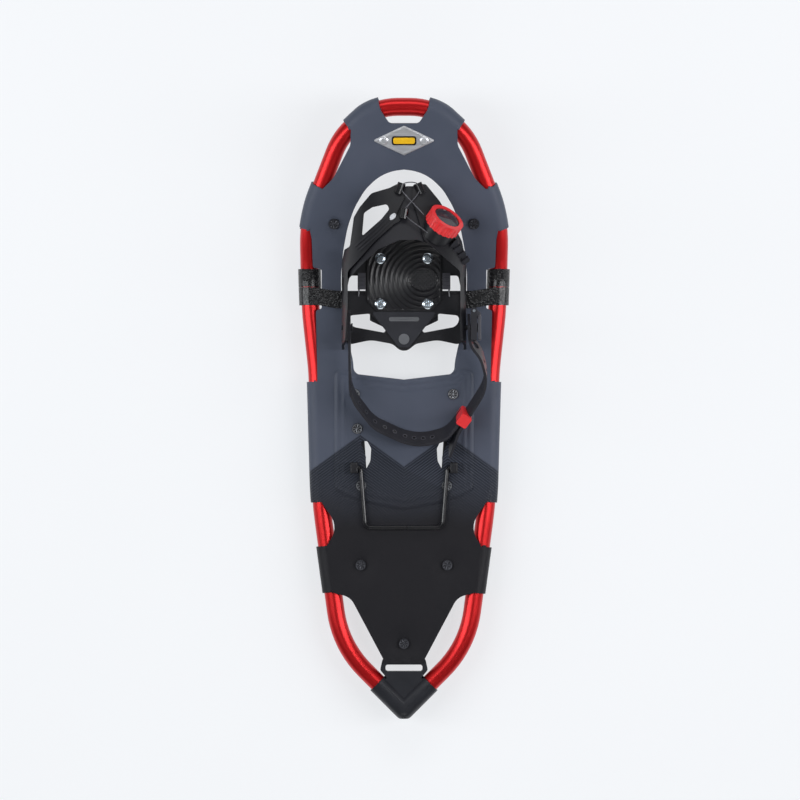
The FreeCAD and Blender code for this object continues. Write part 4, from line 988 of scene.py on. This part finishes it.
# %% Ease the edges
EASED = [
    ("tail_cap", cap_black, "moulded_black", 1.2), ("heel_lift_clip_left", harness_finish, "moulded_black", 0.6),
    ("heel_lift_clip_right", harness_finish, "moulded_black", 0.6),
    ("heel_crampon_left", steel_finish, "black_metal", 0.3),
    ("heel_crampon_right", steel_finish, "black_metal", 0.3),
    ("toe_crampon", steel_finish, "black_metal", 0.3), ("rear_clamp_plate", plate_finish, "black_metal", 0.5),
    ("harness_base", harness_finish, "harness_black", 0.6), ("side_tab_left", smoke_finish, "smoke_grey", 0.4),
    ("side_tab_right", smoke_finish, "smoke_grey", 0.4), ("wing_ladder", strap_finish, "moulded_black", 0.5),
    ("heel_strap_left", strap_finish, "strap_grey", 0.5), ("heel_strap_right", strap_finish, "strap_grey", 0.5),
    ("strap_clip", red_finish, "dial_red", 0.8), ("buckle_body", strap_finish, "moulded_black", 0.6),
    ("buckle_lever", smoke_finish, "smoke_grey", 0.6), ("wing_left", harness_finish, "harness_black", 0.9),
    ("wing_right", harness_finish, "harness_black", 0.9), ("vamp_pad", vamp_finish, "vamp_skin", 0.6),
    ("suspension_strap", harness_finish, "strap_rubber", 0.5),
]
for node, finish, slot, width in EASED:
    eased(node, finish, width)

# %% [markdown]
# ## Holes of the heel strap
# The strap is punched with a row of holes for its clip. Each is drawn as a moulded
# ring in a lighter grey, a painted highlight on the hole's edge, round a black disc
# that paints the shade inside the hole, laid on the face that looks up. Cutting them
# through would need the strap's faces rebuilt, and the rings read the same from the front.

# %% Strap holes
STRAP_HOLES = [(-46.4, 6.9, -52.3), (-39.4, -2.2, -52.3), (-30.4, -12.2, -38.6), (-20.1, -18.1, -24.9),
               (-10.1, -22.7, -24.9), (0.7, -27.1, -17.0), (10.1, -29.1, -7.0), (19.7, -29.4, 3.0),
               (29.2, -28.1, 13.0)]
SWING_STATION = 84.0
SWING_HEIGHT = 80.0
RING_OUTER = 2.5
RING_INNER = 1.6
DROOP = math.tan(math.radians(13.5))
LEAN = math.radians(38.0)
STRAP_HALF = 1.3
up_the_face = Vector((0.0, -math.sin(LEAN), math.cos(LEAN) - math.sin(LEAN) * DROOP))
ring_highlight_mesh = bmesh.new()
hole_shade_mesh = bmesh.new()
for x, y, heading in STRAP_HOLES:
    angle = math.radians(heading)
    ahead = Vector((math.cos(angle), math.sin(angle), math.sin(angle) * DROOP))
    aside = Vector((-math.sin(angle), math.cos(angle), math.cos(angle) * DROOP))
    facing = ahead.cross(up_the_face).normalized()
    facing *= math.copysign(1.0, facing.z)
    middle = Vector((x, y, SWING_HEIGHT + (y - SWING_STATION) * DROOP))
    spot = middle + facing * abs(aside.dot(facing)) * STRAP_HALF
    # Lighter grey ring: a painted highlight on the edge of the hole.
    stamped(ring_highlight_mesh, disc(RING_OUTER, 20) + disc(RING_INNER, 20), 5.0, lambda x, y: 0.4,
            lambda x, y: -0.3, spot, facing)
    # Black disc: painted shade inside the hole.
    stamped(hole_shade_mesh, disc(1.7, 20), 5.0, lambda x, y: 0.12, lambda x, y: -0.3, spot, facing)
hand_over(ring_highlight_mesh, "strap_hole_highlight_rings", smoke_finish, "heel_strap")
hand_over(hole_shade_mesh, "strap_hole_shade_discs", rail_finish, "heel_strap")

# %% [markdown]
# ## Parts that keep their own shape
# What is left is right as it is, and only takes its finish.

# %% Finish the remaining parts
PLAIN = {
    "frame_tube": tube_finish, "heel_lift_bail": rail_finish, "lace_guides": rail_finish,
    "clamp_rivet": rivet_finish,
}
BY_SLOT = {
    "frame_anodised": tube_finish, "moulded_black": cap_black, "deck_sheet": cloth_finish,
    "black_metal": steel_finish, "badge_metal": badge_finish, "pad_skin": vamp_finish,
    "strap_rubber": pebble_finish, "footbed_black": footbed_finish, "zinc": zinc_finish,
    "harness_black": harness_finish, "vamp_skin": vamp_finish, "smoke_grey": smoke_finish,
    "strap_grey": strap_finish, "lace_wire": wire_finish, "dial_red": red_finish,
}
for node, part in nodes.items():
    if part.hide_render:
        continue
    old = part.data.materials[0].name.split(".")[0] if part.data.materials else ""
    finish = PLAIN.get(node) or BY_SLOT.get(old, harness_finish)
    for socket in part.material_slots:
        socket.link = "OBJECT"
        socket.material = finish
    print(node, "takes", finish.name, "for", old)
